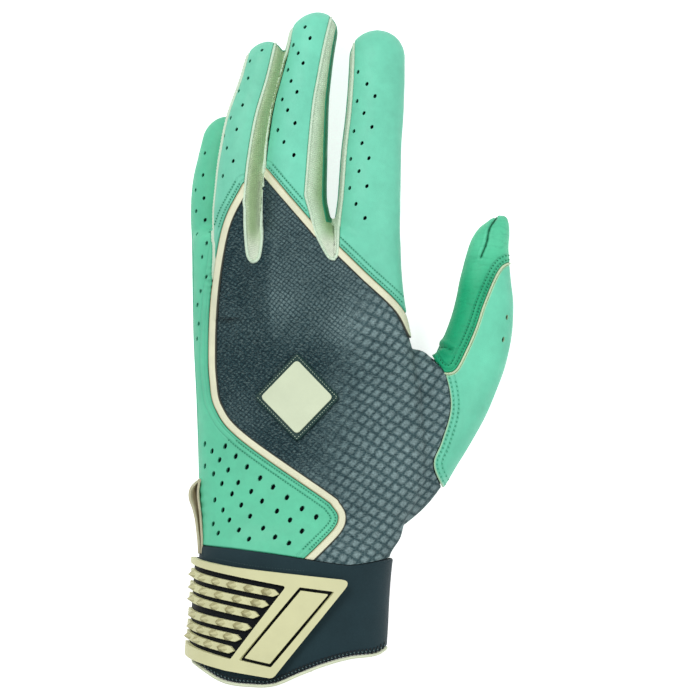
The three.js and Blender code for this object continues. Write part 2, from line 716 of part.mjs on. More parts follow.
// Ribs with a row of studs along each, counted from the pointed end
function ribSolid([startShares, endShares]) {
  const start = at(startShares);
  const end = at(endShares);
  const along = end.clone().sub(start).normalize();
  const far = start.clone().addScaledVector(along, -stud.pitch);
  const shoulder = end.clone().addScaledVector(along, -rib.width / 2);
  const across = corner(-along.y, along.x).multiplyScalar(rib.width / 2);
  const outline = [
    far.clone().add(across), far.clone().sub(across), shoulder.clone().sub(across), end,
    shoulder.clone().add(across),
  ];
  const bar = layer(plateBottom, plateBottom + rib.height).intersect(prism(outline))
    .intersect(aboveHinge(2 * gap + strap.border));
  const studs = [];
  const section = sectionAt(hand, start.y, plateBottom + rib.height - stud.root);
  const step = stud.pitch / ((section.halfWidth + section.halfDepth) / 2);
  const endX = end.x - stud.endSpace;
  const last = Math.PI - (strap.border + stud.length) / section.halfDepth;
  const fine = step / stud.pitch;
  let angle = Math.PI / 2;
  while (outlinePoint(section, angle, start.y).x > endX) angle += fine;
  for (; angle < last; angle += step) {
    const place = outlinePoint(section, angle, start.y);
    place.y += ((place.x - start.x) * along.y) / along.x;
    const beside = outlinePoint(section, angle - step / 2, place.y)
      .sub(outlinePoint(section, angle + step / 2, place.y)).normalize();
    const normal = new THREE.Vector3(-beside.z, 0, beside.x);
    const turn = new THREE.Matrix4().makeBasis(beside, new THREE.Vector3(0, 1, 0), normal);
    turn.setPosition(place);
    studs.push(solidOf(studSolid().applyMatrix4(turn)));
  }
  return joined([bar, ...studs]);
}
ribLineShares.forEach((line, i) => addPart(`strap_rib_${i + 1}`, ribSolid(line), cream, 0.5));

// Pull tab: a folded loop of webbing sewn at the little-finger side
const tabPoints = pullTabBulgeShares.map((share, i) => {
  const y = lerp(pullTab.topShare, pullTab.endShare, i / (pullTabBulgeShares.length - 1)) * glove.length;
  const section = sectionAt(hand, y);
  const stand = gap + pullTab.thickness / 2 + share * pullTab.bulge;
  return corner(section.x - section.halfWidth - stand, y);
});
const tabMiddle = sectionAt(hand, tabPoints[0].y);
const tabHeight = tabMiddle.z - tabMiddle.rise;
const tab = prism(ribbonOutline(tabPoints, pullTab.thickness / 2),
  tabHeight - pullTab.width / 2, tabHeight + pullTab.width / 2);
addPart('pull_tab', tab.subtract(bodySolid(hand, gap)), cream, 0.8);

export default parts;
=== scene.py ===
"""A left-hand batting glove, filled as on a hand and laid palm down.

The hand, fingers and thumb are shaped from spheres and grown together into one soft form.
Leather, knit, gussets, trims and cuff are cut from that form along their seams, each at its
own level. Places in plan are shares: x of the breadth over the knuckles, y of the length.
"""
import math

import bpy
import numpy as np
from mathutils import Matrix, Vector
from mathutils.bvhtree import BVHTree


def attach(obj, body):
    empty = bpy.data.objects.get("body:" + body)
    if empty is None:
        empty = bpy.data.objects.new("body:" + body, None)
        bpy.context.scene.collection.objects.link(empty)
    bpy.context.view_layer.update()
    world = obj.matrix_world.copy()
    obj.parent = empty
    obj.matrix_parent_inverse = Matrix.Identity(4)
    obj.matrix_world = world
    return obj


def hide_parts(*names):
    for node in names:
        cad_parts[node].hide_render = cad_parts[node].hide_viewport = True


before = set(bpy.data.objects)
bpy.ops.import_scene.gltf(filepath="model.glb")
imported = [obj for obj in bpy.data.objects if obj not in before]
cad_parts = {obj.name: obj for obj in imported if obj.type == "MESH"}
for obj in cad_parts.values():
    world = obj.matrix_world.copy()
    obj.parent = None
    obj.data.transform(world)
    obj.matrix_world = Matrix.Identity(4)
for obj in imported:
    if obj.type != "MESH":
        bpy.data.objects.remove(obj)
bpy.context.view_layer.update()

MM = 0.001
LENGTH = 244 * MM
BREADTH = 76 * MM
HEIGHT = 30 * MM
FAR = 150 * MM
VOXEL = 0.6 * MM

# Camera, straight above the back
LENS = 300
SENSOR = 36
VIEW_WIDTH = 252 * MM
VIEW_LEVEL = 17 * MM
VIEW_DISTANCE = VIEW_WIDTH * LENS / SENSOR
CAMERA_FOOT = np.array([18 * MM, 18 * MM])
camera_data = bpy.data.cameras.new("camera")
camera_data.lens = LENS
camera_data.sensor_width = SENSOR
camera_data.clip_end = 20
camera = bpy.data.objects.new("camera", camera_data)
camera.location = (*CAMERA_FOOT, VIEW_LEVEL + VIEW_DISTANCE)
bpy.context.scene.collection.objects.link(camera)
bpy.context.scene.camera = camera


# ---- Rows of the forms: y share, x share, half width, half depth, middle height, rise

HAND = dict(
    breadth=BREADTH, depth=HEIGHT, tip_round=7.2 * MM, shrink=(0.18, 0.75), corner=0.87,
    rows=[
        (-0.46, -0.063, 0.458, 0.62, 0.7, 0), (-0.232, -0.018, 0.452, 0.62, 0.7, 0),
        (-0.205, 0.009, 0.475, 0.6, 0.64, 0.02), (-0.177, 0.02, 0.49, 0.6, 0.6, 0.06),
        (-0.133, 0.057, 0.535, 0.61, 0.585, 0.1), (-0.074, 0.066, 0.55, 0.6, 0.565, 0.12),
        (0, 0.047, 0.54, 0.565, 0.53, 0.14), (0.089, 0.012, 0.519, 0.53, 0.5, 0.14),
        (0.162, -0.012, 0.5, 0.51, 0.48, 0.14), (0.26, -0.019, 0.497, 0.5, 0.47, 0.14),
    ],
)
FINGERS = dict(
    pinky=dict(breadth=15 * MM, depth=14.4 * MM, tip_round=7.2 * MM, rows=[
        (0.118, -0.412, 0.49, 0.5, 0.3), (0.221, -0.419, 0.493, 0.5, 0.243),
        (0.291, -0.422, 0.5, 0.5, 0.243), (0.33, -0.412, 0.49, 0.49, 0.24),
        (0.364, -0.391, 0.462, 0.48, 0.235), (0.42, -0.355, 0.42, 0.46, 0.23)]),
    ring=dict(breadth=17.6 * MM, depth=16.8 * MM, tip_round=7.4 * MM, rows=[
        (0.118, -0.303, 0.48, 0.48, 0.65), (0.221, -0.297, 0.492, 0.5, 0.735),
        (0.273, -0.297, 0.502, 0.5, 0.735), (0.308, -0.29, 0.489, 0.5, 0.73),
        (0.356, -0.275, 0.48, 0.49, 0.725), (0.418, -0.241, 0.458, 0.47, 0.7),
        (0.474, -0.189, 0.417, 0.44, 0.665), (0.529, -0.148, 0.39, 0.42, 0.65)]),
    middle=dict(breadth=23.8 * MM, depth=18.5 * MM, tip_round=8.6 * MM, rows=[
        (0.118, -0.009, 0.48, 0.47, 0.6), (0.253, -0.0125, 0.5315, 0.5, 0.67),
        (0.275, -0.0197, 0.519, 0.5, 0.68), (0.295, -0.027, 0.504, 0.5, 0.69),
        (0.345, -0.021, 0.489, 0.49, 0.675), (0.387, -0.014, 0.475, 0.48, 0.66),
        (0.443, 0.003, 0.44, 0.46, 0.63), (0.468, 0.019, 0.413, 0.45, 0.61),
        (0.51, 0.045, 0.382, 0.43, 0.57), (0.572, 0.085, 0.37, 0.42, 0.53)]),
    index=dict(breadth=22.8 * MM, depth=18.5 * MM, tip_round=10 * MM, rows=[
        (0.118, 0.322, 0.47, 0.47, 0.56), (0.211, 0.325, 0.505, 0.5, 0.64),
        (0.253, 0.3174, 0.527, 0.5, 0.65), (0.275, 0.3204, 0.5154, 0.5, 0.65),
        (0.295, 0.325, 0.5, 0.5, 0.65), (0.364, 0.336, 0.482, 0.48, 0.62),
        (0.42, 0.351, 0.462, 0.46, 0.59), (0.478, 0.362, 0.45, 0.45, 0.56),
        (0.546, 0.367, 0.44, 0.43, 0.52)]),
)
ORDER = list(FINGERS)
for finger in FINGERS.values():
    finger.update(shrink=(1, 1), corner=1)
THUMB = dict(
    breadth=26.6 * MM, depth=25 * MM, tip_round=8.2 * MM, shrink=(1, 1), corner=0.91,
    length=88.8 * MM, root=(0.616 * BREADTH, -0.074 * LENGTH), lean=math.radians(16),
    rows=[
        (-0.36, -0.1, 0.22, 0.3, 0.44), (-0.2, -0.045, 0.38, 0.44, 0.417),
        (0, 0, 0.44, 0.5, 0.41), (0.2, 0.035, 0.485, 0.5, 0.407),
        (0.387, 0.057, 0.475, 0.47, 0.38), (0.525, 0.064, 0.436, 0.42, 0.34),
        (0.648, 0.05, 0.398, 0.37, 0.3), (0.787, 0.02, 0.322, 0.32, 0.267),
        (0.9, 0.0065, 0.24, 0.28, 0.243), (1, 0.03, 0.135, 0.25, 0.233)],
)

# ---- Seams in plan, as shares

TRIM_SEAMS = dict(
    trim_left=[(-0.256, 0.316), (-0.341, 0.266), (-0.384, 0.212), (-0.412, 0.148),
               (-0.422, 0.081), (-0.417, 0.03), (-0.388, -0.012), (-0.27, -0.055),
               (0.123, -0.1405), (0.168, -0.153), (0.197, -0.1665), (0.2, -0.1785),
               (0.185, -0.1895), (0.15, -0.2025), (0.0455, -0.2344), (0.03, -0.239)],
    trim_middle=[(-0.175, 0.338), (-0.071, 0.3), (0.047, 0.258), (0.08, 0.246)],
    trim_index=[(0.14, 0.232), (0.18, 0.22), (0.303, 0.183), (0.464, 0.136), (0.534, 0.098)],
)
THUMB_SEAM = [(0.6, 0.12), (0.626, 0.068), (0.69, 0.036), (0.715, -0.012), (0.673, -0.062),
              (0.635, -0.094), (0.668, -0.124), (0.734, -0.156)]
PIPING_SEAM = [(1.052, 0.202), (0.99, 0.202), (0.943, 0.187), (0.881, 0.143), (0.843, 0.108),
               (0.796, 0.074), (0.744, 0.044), (0.69, 0.039), (0.645, 0.048), (0.61, 0.068)]
CUFF_TOP = [(-0.616, -0.2215), (-0.459, -0.216), (-0.18, -0.224), (0.147, -0.24),
            (0.261, -0.243), (0.431, -0.235), (0.568, -0.226)]
CUFF_BOTTOM = [(-0.616, -0.369), (-0.521, -0.385), (-0.369, -0.4139), (-0.223, -0.4205),
               (-0.1184, -0.4186), (0, -0.4035), (0.1184, -0.3895), (0.2368, -0.3799),
               (0.355, -0.3762), (0.42, -0.3665), (0.521, -0.361)]

# Gussets: side of the finger, seam as a share of the half width at web and tip, end in plan
GUSSETS = dict(
    gusset_index_left=("index", -1, (0.86, 0.86), 0.26,
                       [(0.179, 0.225), (0.174, 0.2139), (0.1606, 0.209), (0.14, 0.208)]),
    gusset_middle_right=("middle", 1, (0.35, 0.6), 0.3,
                         [(0.0505, 0.2766), (0.0764, 0.2462), (0.1047, 0.2269),
                          (0.125, 0.2159), (0.144, 0.209), (0.18, 0.208)]),
    gusset_middle_left=("middle", -1, (0.955, 0.97), 0.335, []),
    gusset_ring_right=("ring", 1, (0.28, 0.4), 0.29,
                       [(-0.2605, 0.2545), (-0.2515, 0.2213), (-0.2425, 0.2102),
                        (-0.2226, 0.2037), (-0.2013, 0.2083), (-0.1914, 0.2176),
                        (-0.1833, 0.2397), (-0.18, 0.2693), (-0.1715, 0.32),
                        (-0.163, 0.345)]),
    gusset_ring_left=("ring", -1, (1.03, 0.95), 0.235,
                      [(-0.4145, 0.215), (-0.4165, 0.2), (-0.418, 0.1845), (-0.414, 0.165),
                       (-0.4, 0.14)]),
    gusset_pinky_right=("pinky", 1, (0.62, 0.62), 0.24, []),
)
# Gussets that show only their sewn bead, and the one that lies deepest, whose knit is darker as
# painted shade
BEAD_ONLY = ("gusset_middle_left", "gusset_ring_left")
DEEP_GUSSET = "gusset_ring_right"
# The side of the middle finger that turns from the light, in palm leather darkened as painted
# shade, shaped as a gusset
SHADED_MIDDLE_SIDE = ("middle", 1, (0.86, 0.9), 0.262, [])
TIP_SEAM = [(0.9405, 0.2715), (0.905, 0.2552), (0.8905, 0.2346), (0.862, 0.211)]
THUMB_FOLD = [(0.635, 0.07), (0.675, 0.079), (0.72, 0.074)]
PARTING_SHARE = 0.05
BLEND_END = 0.214 * LENGTH
BLEND_TOP = 0.273 * LENGTH
BACK_SPLIT = 0.215 * BREADTH
THUMB_PARTING = 7.5 * MM
THUMB_ROOT_TOP = 30 * MM
THUMB_ROOT_FOOT = -62 * MM
SEAM_GAP = 0.12 * MM
PIPING_HALF = 0.4 * MM


# ---- Working with objects

def only(*pieces):
    bpy.ops.object.select_all(action="DESELECT")
    for piece in pieces:
        piece.select_set(True)
    bpy.context.view_layer.objects.active = pieces[0]


def edit(piece):
    only(piece)
    bpy.ops.object.mode_set(mode="EDIT")
    bpy.ops.mesh.select_all(action="SELECT")


def done():
    bpy.ops.object.mode_set(mode="OBJECT")


def made(name):
    piece = bpy.context.active_object
    piece.name = name
    piece.data.name = name
    return piece


def new_piece(name, points, faces):
    mesh = bpy.data.meshes.new(name)
    mesh.from_pydata(points, [], faces)
    piece = bpy.data.objects.new(name, mesh)
    bpy.context.scene.collection.objects.link(piece)
    return piece


def ball(name, around, along):
    bpy.ops.mesh.primitive_uv_sphere_add(segments=around, ring_count=along, radius=1)
    return made(name)


def write_mark(piece, name, domain, values):
    data = piece.data.attributes.new(name, "FLOAT", domain).data
    data.foreach_set("value", np.ascontiguousarray(values, np.float32))


def modify(piece, kind, **settings):
    only(piece)
    modifier = piece.modifiers.new(kind.lower(), kind)
    for key, value in settings.items():
        setattr(modifier, key, value)
    bpy.ops.object.modifier_apply(modifier=modifier.name)


def cut_out(piece, tool):
    modify(piece, "BOOLEAN", operation="DIFFERENCE", object=tool, solver="MANIFOLD")
    remove(tool)


def shade(piece, angle):
    """Smooth shading, with edges of more than an angle in degrees left sharp."""
    only(piece)
    bpy.ops.object.shade_smooth_by_angle(angle=math.radians(angle))


def face_outwards(piece):
    edit(piece)
    bpy.ops.mesh.normals_make_consistent(inside=False)
    done()


def points_of(piece, what="co"):
    flat = np.empty(len(piece.data.vertices) * 3)
    piece.data.vertices.foreach_get(what, flat)
    return flat.reshape(-1, 3)


def set_points(piece, points):
    piece.data.vertices.foreach_set("co", np.ascontiguousarray(points).ravel())
    piece.data.update()


def remove(*pieces):
    for piece in pieces:
        bpy.data.objects.remove(piece)


# ---- Forms

ROOT_CAP, TIP_CAP = 0.05, 0.16
WEB_SIZES = (11 * MM, 9.6 * MM, 7 * MM)
WEB_CENTRE = (41.5 * MM, 8.8 * MM, 14.5 * MM)
WEB_TURN = math.radians(41)
FINGER_WEB, FINGER_WEB_REACH = 54 * MM, 8 * MM


def read_rows(body):
    along = body.get("length", LENGTH)
    across = body.get("length", BREADTH)
    rows = np.array([list(row) + [0] * (6 - len(row)) for row in body["rows"]], float)
    t = rows[:, 0] * along
    v = np.column_stack([rows[:, 1] * across, rows[:, 2] * body["breadth"],
                         rows[:, 3] * body["depth"], rows[:, 4] * HEIGHT, rows[:, 5] * HEIGHT])
    m = np.zeros_like(v)
    m[1:-1] = (v[2:] - v[:-2]) / (t[2:] - t[:-2])[:, None]
    m[0] = 1.5 * (v[1] - v[0]) / (t[1] - t[0]) - 0.5 * m[1]
    m[-1] = 1.5 * (v[-1] - v[-2]) / (t[-1] - t[-2]) - 0.5 * m[-2]
    body.update(t=t, v=v, m=m, start=t[-1] - body["tip_round"])


def row_at(body, y):
    """x, half width, half depth, z and rise along a body."""
    t, v, m = body["t"], body["v"], body["m"]
    y = np.clip(np.asarray(y, float), t[0], t[-1])
    i = np.clip(np.searchsorted(t, y) - 1, 0, len(t) - 2)
    h = (t[i + 1] - t[i])[..., None]
    s = (y - t[i])[..., None] / h
    return ((2 * s**3 - 3 * s**2 + 1) * v[i] + (s**3 - 2 * s**2 + s) * h * m[i]
            + (3 * s**2 - 2 * s**3) * v[i + 1] + (s**3 - s**2) * h * m[i + 1])


def placed(body, points):
    """Turns points from a body's own frame into the glove's."""
    if "lean" in body:
        c, s = math.cos(body["lean"]), math.sin(body["lean"])
        x, y = points[:, 0].copy(), points[:, 1].copy()
        points[:, 0] = x * c + y * s + body["root"][0]
        points[:, 1] = y * c - x * s + body["root"][1]
    return points


def cornered(values, body):
    """A sine or cosine drawn toward the corners of a body's section."""
    return np.sign(values) * np.abs(values) ** body["corner"]


def skin_point(body, y, angle, grow=0):
    row = row_at(body, y)
    past = np.clip((y - body["start"]) / (body["tip_round"] + grow), 0, 1)
    drawn = 1 - np.sqrt(1 - past**2)
    half_width = (row[:, 1] + grow) * (1 - body["shrink"][0] * drawn)
    half_depth = (row[:, 2] + grow) * (1 - body["shrink"][1] * drawn)
    across, up = cornered(np.cos(angle), body), cornered(np.sin(angle), body)
    return placed(body, np.column_stack([
        row[:, 0] + half_width * across, y, row[:, 3] + half_depth * up + row[:, 4] * across]))


def limb(name, body, around, along, grow=0):
    """A sphere drawn out along a body's rows: a flat root and a round tip."""
    piece = ball(name, around, along)
    globe = points_of(piece)
    latitude = np.arccos(np.clip(-globe[:, 2], -1, 1)) / math.pi
    angle = np.arctan2(globe[:, 1], globe[:, 0])
    middle = np.clip((latitude - ROOT_CAP) / (1 - TIP_CAP - ROOT_CAP), 0, 1)
    tip = np.clip((latitude - 1 + TIP_CAP) / TIP_CAP, 0, 1)
    y = body["t"][0] + (body["start"] - body["t"][0]) * middle
    y += (body["tip_round"] + grow) * np.sin(tip * math.pi / 2)
    skin = skin_point(body, y, angle, grow)
    at_root = latitude < ROOT_CAP
    centre = skin[at_root].mean(axis=0)
    draw = np.clip(latitude / ROOT_CAP, 0, 1)[:, None]
    set_points(piece, np.where(at_root[:, None], centre + (skin - centre) * draw, skin))
    face_outwards(piece)
    return piece


for body in [HAND, THUMB, *FINGERS.values()]:
    read_rows(body)


def hand_form(name, grow, voxel):
    """Hand, fingers, thumb and the web beside it, grown together."""
    limbs = [limb(name, HAND, 128, 120, grow), limb("thumb_form", THUMB, 80, 90, grow)]
    limbs += [limb(f"{finger}_form", body, 72, 100, grow) for finger, body in FINGERS.items()]
    bpy.ops.object.select_all(action="DESELECT")
    web = ball("web_form", 48, 32)
    bpy.ops.transform.resize(value=[half + grow for half in WEB_SIZES])
    bpy.ops.transform.rotate(value=WEB_TURN, orient_axis="Z", center_override=(0, 0, 0))
    bpy.ops.transform.translate(value=WEB_CENTRE)
    bpy.ops.object.transform_apply()
    only(*limbs, web)
    bpy.ops.object.join()
    modify(limbs[0], "REMESH", mode="VOXEL", voxel_size=voxel)
    return limbs[0]


form = hand_form("form", 0, VOXEL)
modify(form, "SMOOTH", factor=0.5, iterations=8)
near_webs = np.nonzero(np.abs(points_of(form)[:, 1] - FINGER_WEB) < FINGER_WEB_REACH)[0]
form.vertex_groups.new(name="webs").add(near_webs.tolist(), 1, "REPLACE")
modify(form, "SMOOTH", factor=0.5, iterations=20, vertex_group="webs")
form_points = points_of(form)


# ---- Fields: signed distances from the seams, positive inside

GRID_STEP = 0.7 * MM
GRID_LOW = np.array([-62 * MM, -116 * MM])
GRID_SIZE = (225, 375)
grid_x, grid_y = np.meshgrid(*(GRID_LOW[k] + GRID_STEP * np.arange(GRID_SIZE[k]) for k in (0, 1)),
                             indexing="ij")
BACK_SCALE = 1 / 1.0085


def plan(shares):
    """Plan places from shares seen by the camera, to which the back is a little nearer."""
    seen = np.array(shares, float) * (BREADTH, LENGTH)
    return CAMERA_FOOT + (seen - CAMERA_FOOT) * BACK_SCALE


def smooth(shares, per_span=8):
    """A smooth line through plan places."""
    return curve(plan(shares), per_span)


def curve(p, per_span=8):
    p = np.array(p, float)
    p = np.vstack([2 * p[0] - p[1], p, 2 * p[-1] - p[-2]])
    t = np.linspace(0, 1, per_span, endpoint=False)[:, None]
    spans = [0.5 * (2 * p[i] + (p[i + 1] - p[i - 1]) * t
                    + (2 * p[i - 1] - 5 * p[i] + 4 * p[i + 1] - p[i + 2]) * t**2
                    + (3 * p[i] - p[i - 1] - 3 * p[i + 1] + p[i + 2]) * t**3)
             for i in range(1, len(p) - 2)]
    return np.vstack([*spans, p[-2:-1]])


def line_distance(line, closed=False):
    """Distance of every grid place from a line, and whether it is inside a closed one."""
    best = np.full(grid_x.shape, FAR**2)
    inside = np.zeros(grid_x.shape, bool)
    ends = np.roll(line, -1, axis=0) if closed else line[1:]
    for a, b in zip(line, ends):
        d = b - a
        length = d @ d
        if length == 0:
            continue
        t = np.clip(((grid_x - a[0]) * d[0] + (grid_y - a[1]) * d[1]) / length, 0, 1)
        best = np.minimum(best, (grid_x - a[0] - t * d[0])**2 + (grid_y - a[1] - t * d[1])**2)
        if closed and a[1] != b[1]:
            crosses = (a[1] > grid_y) != (b[1] > grid_y)
            inside ^= crosses & (grid_x < a[0] + (grid_y - a[1]) * d[0] / d[1])
    return np.sqrt(best), inside


def on_form(grid):
    """A grid's values at the points of the form."""
    u = np.clip((form_points[:, :2] - GRID_LOW) / GRID_STEP, 0, np.array(GRID_SIZE) - 1.001)
    i, j = u.astype(int).T
    a, b = (u - u.astype(int)).T
    return ((grid[i, j] * (1 - a) + grid[i + 1, j] * a) * (1 - b)
            + (grid[i, j + 1] * (1 - a) + grid[i + 1, j + 1] * a) * b)


def away_from(line):
    """Distance from a line in plan."""
    return on_form(line_distance(line)[0])


def region(outline):
    """Signed distance from an outline in plan."""
    distance, inside = line_distance(np.array(outline), closed=True)
    return on_form(np.where(inside, distance, -distance))


def above(line):
    """Signed distance from a line across the glove."""
    return region([(-FAR, line[0, 1]), *line, (FAR, line[-1, 1]), (FAR, FAR), (-FAR, FAR)])


def parting(first):
    """Signed distance from the parting between two fingers, positive at the later one."""
    a, b = (row_at(FINGERS[ORDER[i]], form_points[:, 1]) for i in (first, first + 1))
    toward = np.column_stack([b[:, 0] - a[:, 0], b[:, 3] - a[:, 3]])
    distance = np.linalg.norm(toward, axis=1)
    toward /= distance[:, None]
    radius = [1 / np.hypot(toward[:, 0] / r[:, 1], toward[:, 1] / r[:, 2]) for r in (a, b)]
    return ((form_points[:, 0] - a[:, 0]) * toward[:, 0]
            + (form_points[:, 2] - a[:, 3]) * toward[:, 1]
            - (radius[0] + distance - radius[1]) / 2)


def back_height(zones):
    """Height over the line where the back meets the palm side."""
    x, y, z = form_points.T
    row = row_at(HAND, y)
    out = (np.clip((x - row[:, 0] - 0.6 * row[:, 1]) / (0.35 * row[:, 1]), 0, 1)
           * np.clip((THUMB_ROOT_TOP - y) / (12 * MM), 0, 1)
           * np.clip((y - THUMB_ROOT_FOOT) / (15 * MM), 0, 1))
    base = (row[:, 3] - PARTING_SHARE * HAND["depth"]) * (1 - out) + THUMB_PARTING * out
    own = np.zeros(len(y))
    best = np.full(len(y), -FAR)
    for name, body in FINGERS.items():
        height = row_at(body, y)[:, 3] - PARTING_SHARE * body["depth"]
        own = np.where(zones[name] > best, height, own)
        best = np.maximum(best, zones[name])
    t = np.clip((y - BLEND_END) / (BLEND_TOP - BLEND_END), 0, 1)
    t = t * t * (3 - 2 * t)
    return z - (base * (1 - t) + own * t)


def thumb_height():
    c, s = math.cos(THUMB["lean"]), math.sin(THUMB["lean"])
    along = (form_points[:, 0] - THUMB["root"][0]) * s + (form_points[:, 1] - THUMB["root"][1]) * c
    return form_points[:, 2] - (row_at(THUMB, along)[:, 3] - PARTING_SHARE * THUMB["depth"])


def gusset_line(finger, side, seam, web_share, end):
    """A gusset's seam in plan, from past the fingertip to the web."""
    body = FINGERS[finger]
    y = np.linspace(body["t"][-1], web_share * LENGTH, 24)
    row = row_at(body, y)
    share = np.linspace(seam[1], seam[0], 24)
    line = np.column_stack([row[:, 0] + side * row[:, 1] * share, y])
    line = np.vstack([line[0] + (0, body["breadth"]), line])
    if end:
        line = np.vstack([line, smooth([tuple(line[-1] / (BREADTH, LENGTH)), *end], 6)[1:]])
    return line


def gusset_outline(finger, side, *shape):
    line = gusset_line(finger, side, *shape)
    far = side * ((side * line[:, 0]).max() + FINGERS[finger]["breadth"])
    return [*line, (far, line[-1, 1]), (far, line[0, 1])]


thumb_line = smooth(THUMB_SEAM)
cuff_bottom_line = smooth(CUFF_BOTTOM)
piping_line = smooth(PIPING_SEAM)
trim_lines = {name: smooth(shares, 10) for name, shares in TRIM_SEAMS.items()}
FIELDS = {
    "thumb": region([*thumb_line, (FAR, thumb_line[-1, 1]), (FAR, FAR), (thumb_line[0, 0], FAR)]),
    "above_cuff": above(smooth(CUFF_TOP)),
    "above_hem": above(cuff_bottom_line),
    "knit": region([
        *trim_lines["trim_left"][::-1], *trim_lines["trim_middle"], *trim_lines["trim_index"],
        (thumb_line[0, 0], trim_lines["trim_index"][-1, 1]), *thumb_line,
        (thumb_line[-1, 0], -FAR / 2), (trim_lines["trim_left"][-1, 0], -FAR / 2)]),
    "outer_thumb": region([*piping_line, (piping_line[-1, 0], -FAR), (FAR, -FAR),
                           (FAR, piping_line[0, 1])]),
    "shaded_middle_side": region(gusset_outline(*SHADED_MIDDLE_SIDE)),
    "tip_seam": away_from(smooth(TIP_SEAM)),
    "thumb_fold": away_from(smooth(THUMB_FOLD)),
    "thumb_back": thumb_height(),
    "x": form_points[:, 0],
    "y": form_points[:, 1],
}
for name, line in trim_lines.items():
    FIELDS[name] = away_from(line)
for i in range(3):
    FIELDS[f"split_{i}"] = parting(i)
zones = {
    "pinky": -FIELDS["split_0"],
    "ring": np.minimum(FIELDS["split_0"], -FIELDS["split_1"]),
    "middle": np.minimum(FIELDS["split_1"], -FIELDS["split_2"]),
    "index": FIELDS["split_2"],
}
FIELDS["back"] = back_height(zones)
for name, values in GUSSETS.items():
    line = gusset_line(*values)
    seam = (-region([*line, (FAR, line[-1, 1]), (FAR, line[0, 1])]) if name == "gusset_ring_left"
            else region(gusset_outline(*values)))
    FIELDS.update({f"{name}_seam": seam, name: np.minimum(seam, zones[values[0]])})

form.data.calc_loop_triangles()
form_triangles = np.empty(len(form.data.loop_triangles) * 3, np.int64)
form.data.loop_triangles.foreach_get("vertices", form_triangles)
form_triangles = form_triangles.reshape(-1, 3)
form_points[:, 2] = np.maximum(form_points[:, 2], 0)
form_table = np.column_stack([form_points, points_of(form, "normal"), *FIELDS.values()])
skin_tree = BVHTree.FromPolygons(form_points.tolist(), form_triangles.tolist())


# ---- Cutting panels from the form

def slice_skin(table, triangles, values, keep_outside):
    """Splits triangles where a value crosses nought, and may drop what lies under it."""
    over = values >= 0
    count = over[triangles].sum(axis=1)
    parts = [triangles[count == 3]]
    if keep_outside:
        parts.append(triangles[count == 0])
    mixed = triangles[(count == 1) | (count == 2)]
    lone_over = over[mixed].sum(axis=1) == 1
    lone = np.argmax(over[mixed] == lone_over[:, None], axis=1)
    rows = np.arange(len(mixed))
    a, b, c = (mixed[rows, (lone + k) % 3] for k in range(3))
    edges = np.concatenate([np.stack([a, b], 1), np.stack([a, c], 1)])
    edges.sort(axis=1)
    unique, where = np.unique(edges[:, 0] * len(table) + edges[:, 1], return_inverse=True)
    low, high = unique // len(table), unique % len(table)
    t = (values[low] / (values[low] - values[high]))[:, None]
    new_rows = table[low] * (1 - t) + table[high] * t
    ab, ac = (where[:len(mixed)] + len(table)), (where[len(mixed):] + len(table))
    tips = np.stack([a, ab, ac], 1)
    rests = np.concatenate([np.stack([ab, b, c], 1), np.stack([ab, c, ac], 1)])
    twice = np.concatenate([lone_over, lone_over])
    parts += [tips[lone_over | keep_outside], rests[~twice | keep_outside]]
    return np.vstack([table, new_rows]), np.vstack(parts)


def used_only(table, triangles):
    used = np.unique(triangles)
    new_index = np.full(len(table), -1)
    new_index[used] = np.arange(len(used))
    return table[used], new_index[triangles]


def fields(table):
    return dict(zip(FIELDS, table[:, 6:].T))


def quarter_round(share):
    """The rise of a rounded edge, from 0 at the edge to 1."""
    return np.sqrt(1 - (1 - np.clip(share, 0, 1))**2)


def cut_panel(name, inside, loops=(0.12, 0.3, 0.6), rolled=0.45, level=0, crown=0, width=0,
              thick=0.8, relief=None, keep=1, marks=None):
    """A panel of the skin where a function of the fields is positive, with rolled edges.

    loops are the distances from the edge, in millimetres, where the skin gets rows of points.
    marks are distances, in millimetres, that the finish follows.
    """
    table, triangles = slice_skin(form_table, form_triangles, inside(fields(form_table)), False)
    for loop in loops:
        table, triangles = used_only(table, triangles)
        table, triangles = slice_skin(table, triangles, inside(fields(table)) - loop * MM, True)
    table, triangles = used_only(table, triangles)
    f = fields(table)
    edge = np.maximum(inside(f), 0)
    normals = table[:, 3:6] / np.linalg.norm(table[:, 3:6], axis=1)[:, None]
    height = np.full(len(table), level * MM)
    if rolled:
        height -= rolled * MM * (1 - quarter_round(edge / (rolled * MM)))
    if crown:
        height += crown * MM * quarter_round(edge / (width * MM / 2))
    if relief is not None:
        height += relief(f, table[:, :3]) * MM
    points = table[:, :3] + normals * height[:, None]
    piece = new_piece(name, points.tolist(), triangles.tolist())
    for mark, distance in {"edge": lambda f: edge, **(marks or {})}.items():
        write_mark(piece, mark, "POINT", distance(f) / MM)
    if keep < 1:
        modify(piece, "DECIMATE", ratio=keep)
    modify(piece, "SOLIDIFY", thickness=thick * MM, offset=-1, use_rim=True)
    shade(piece, SHARP)


def all_of(*values):
    return np.minimum.reduce(values)


def any_of(*values):
    return np.maximum.reduce(values)


TRIM_HALF = 1.5 * MM
STITCH_INSETS = (2.5, 4.2)
SHARP = 50
BEAD = 0.5 * MM
HEM_HALF = 0.6 * MM
LEATHER_WEB = 54 * MM
KNIT_WEB = 58 * MM
RING_FOOT = 38 * MM
RING_GUSSET_FOOT = 66 * MM
PINKY_LAP, RING_LAP = -20 * MM, -15 * MM
LAP, WIDE_LAP = 2 * MM, 4 * MM
GUSSET_GAP = -0.3 * MM


def off_gussets(f, by):
    """Away from the gussets whose seams cross the back."""
    return -any_of(*(f[name] for name in GUSSETS if name != "gusset_ring_left")) - by


def trim_seam(f):
    return all_of(*(f[name] for name in TRIM_SEAMS)) - TRIM_HALF


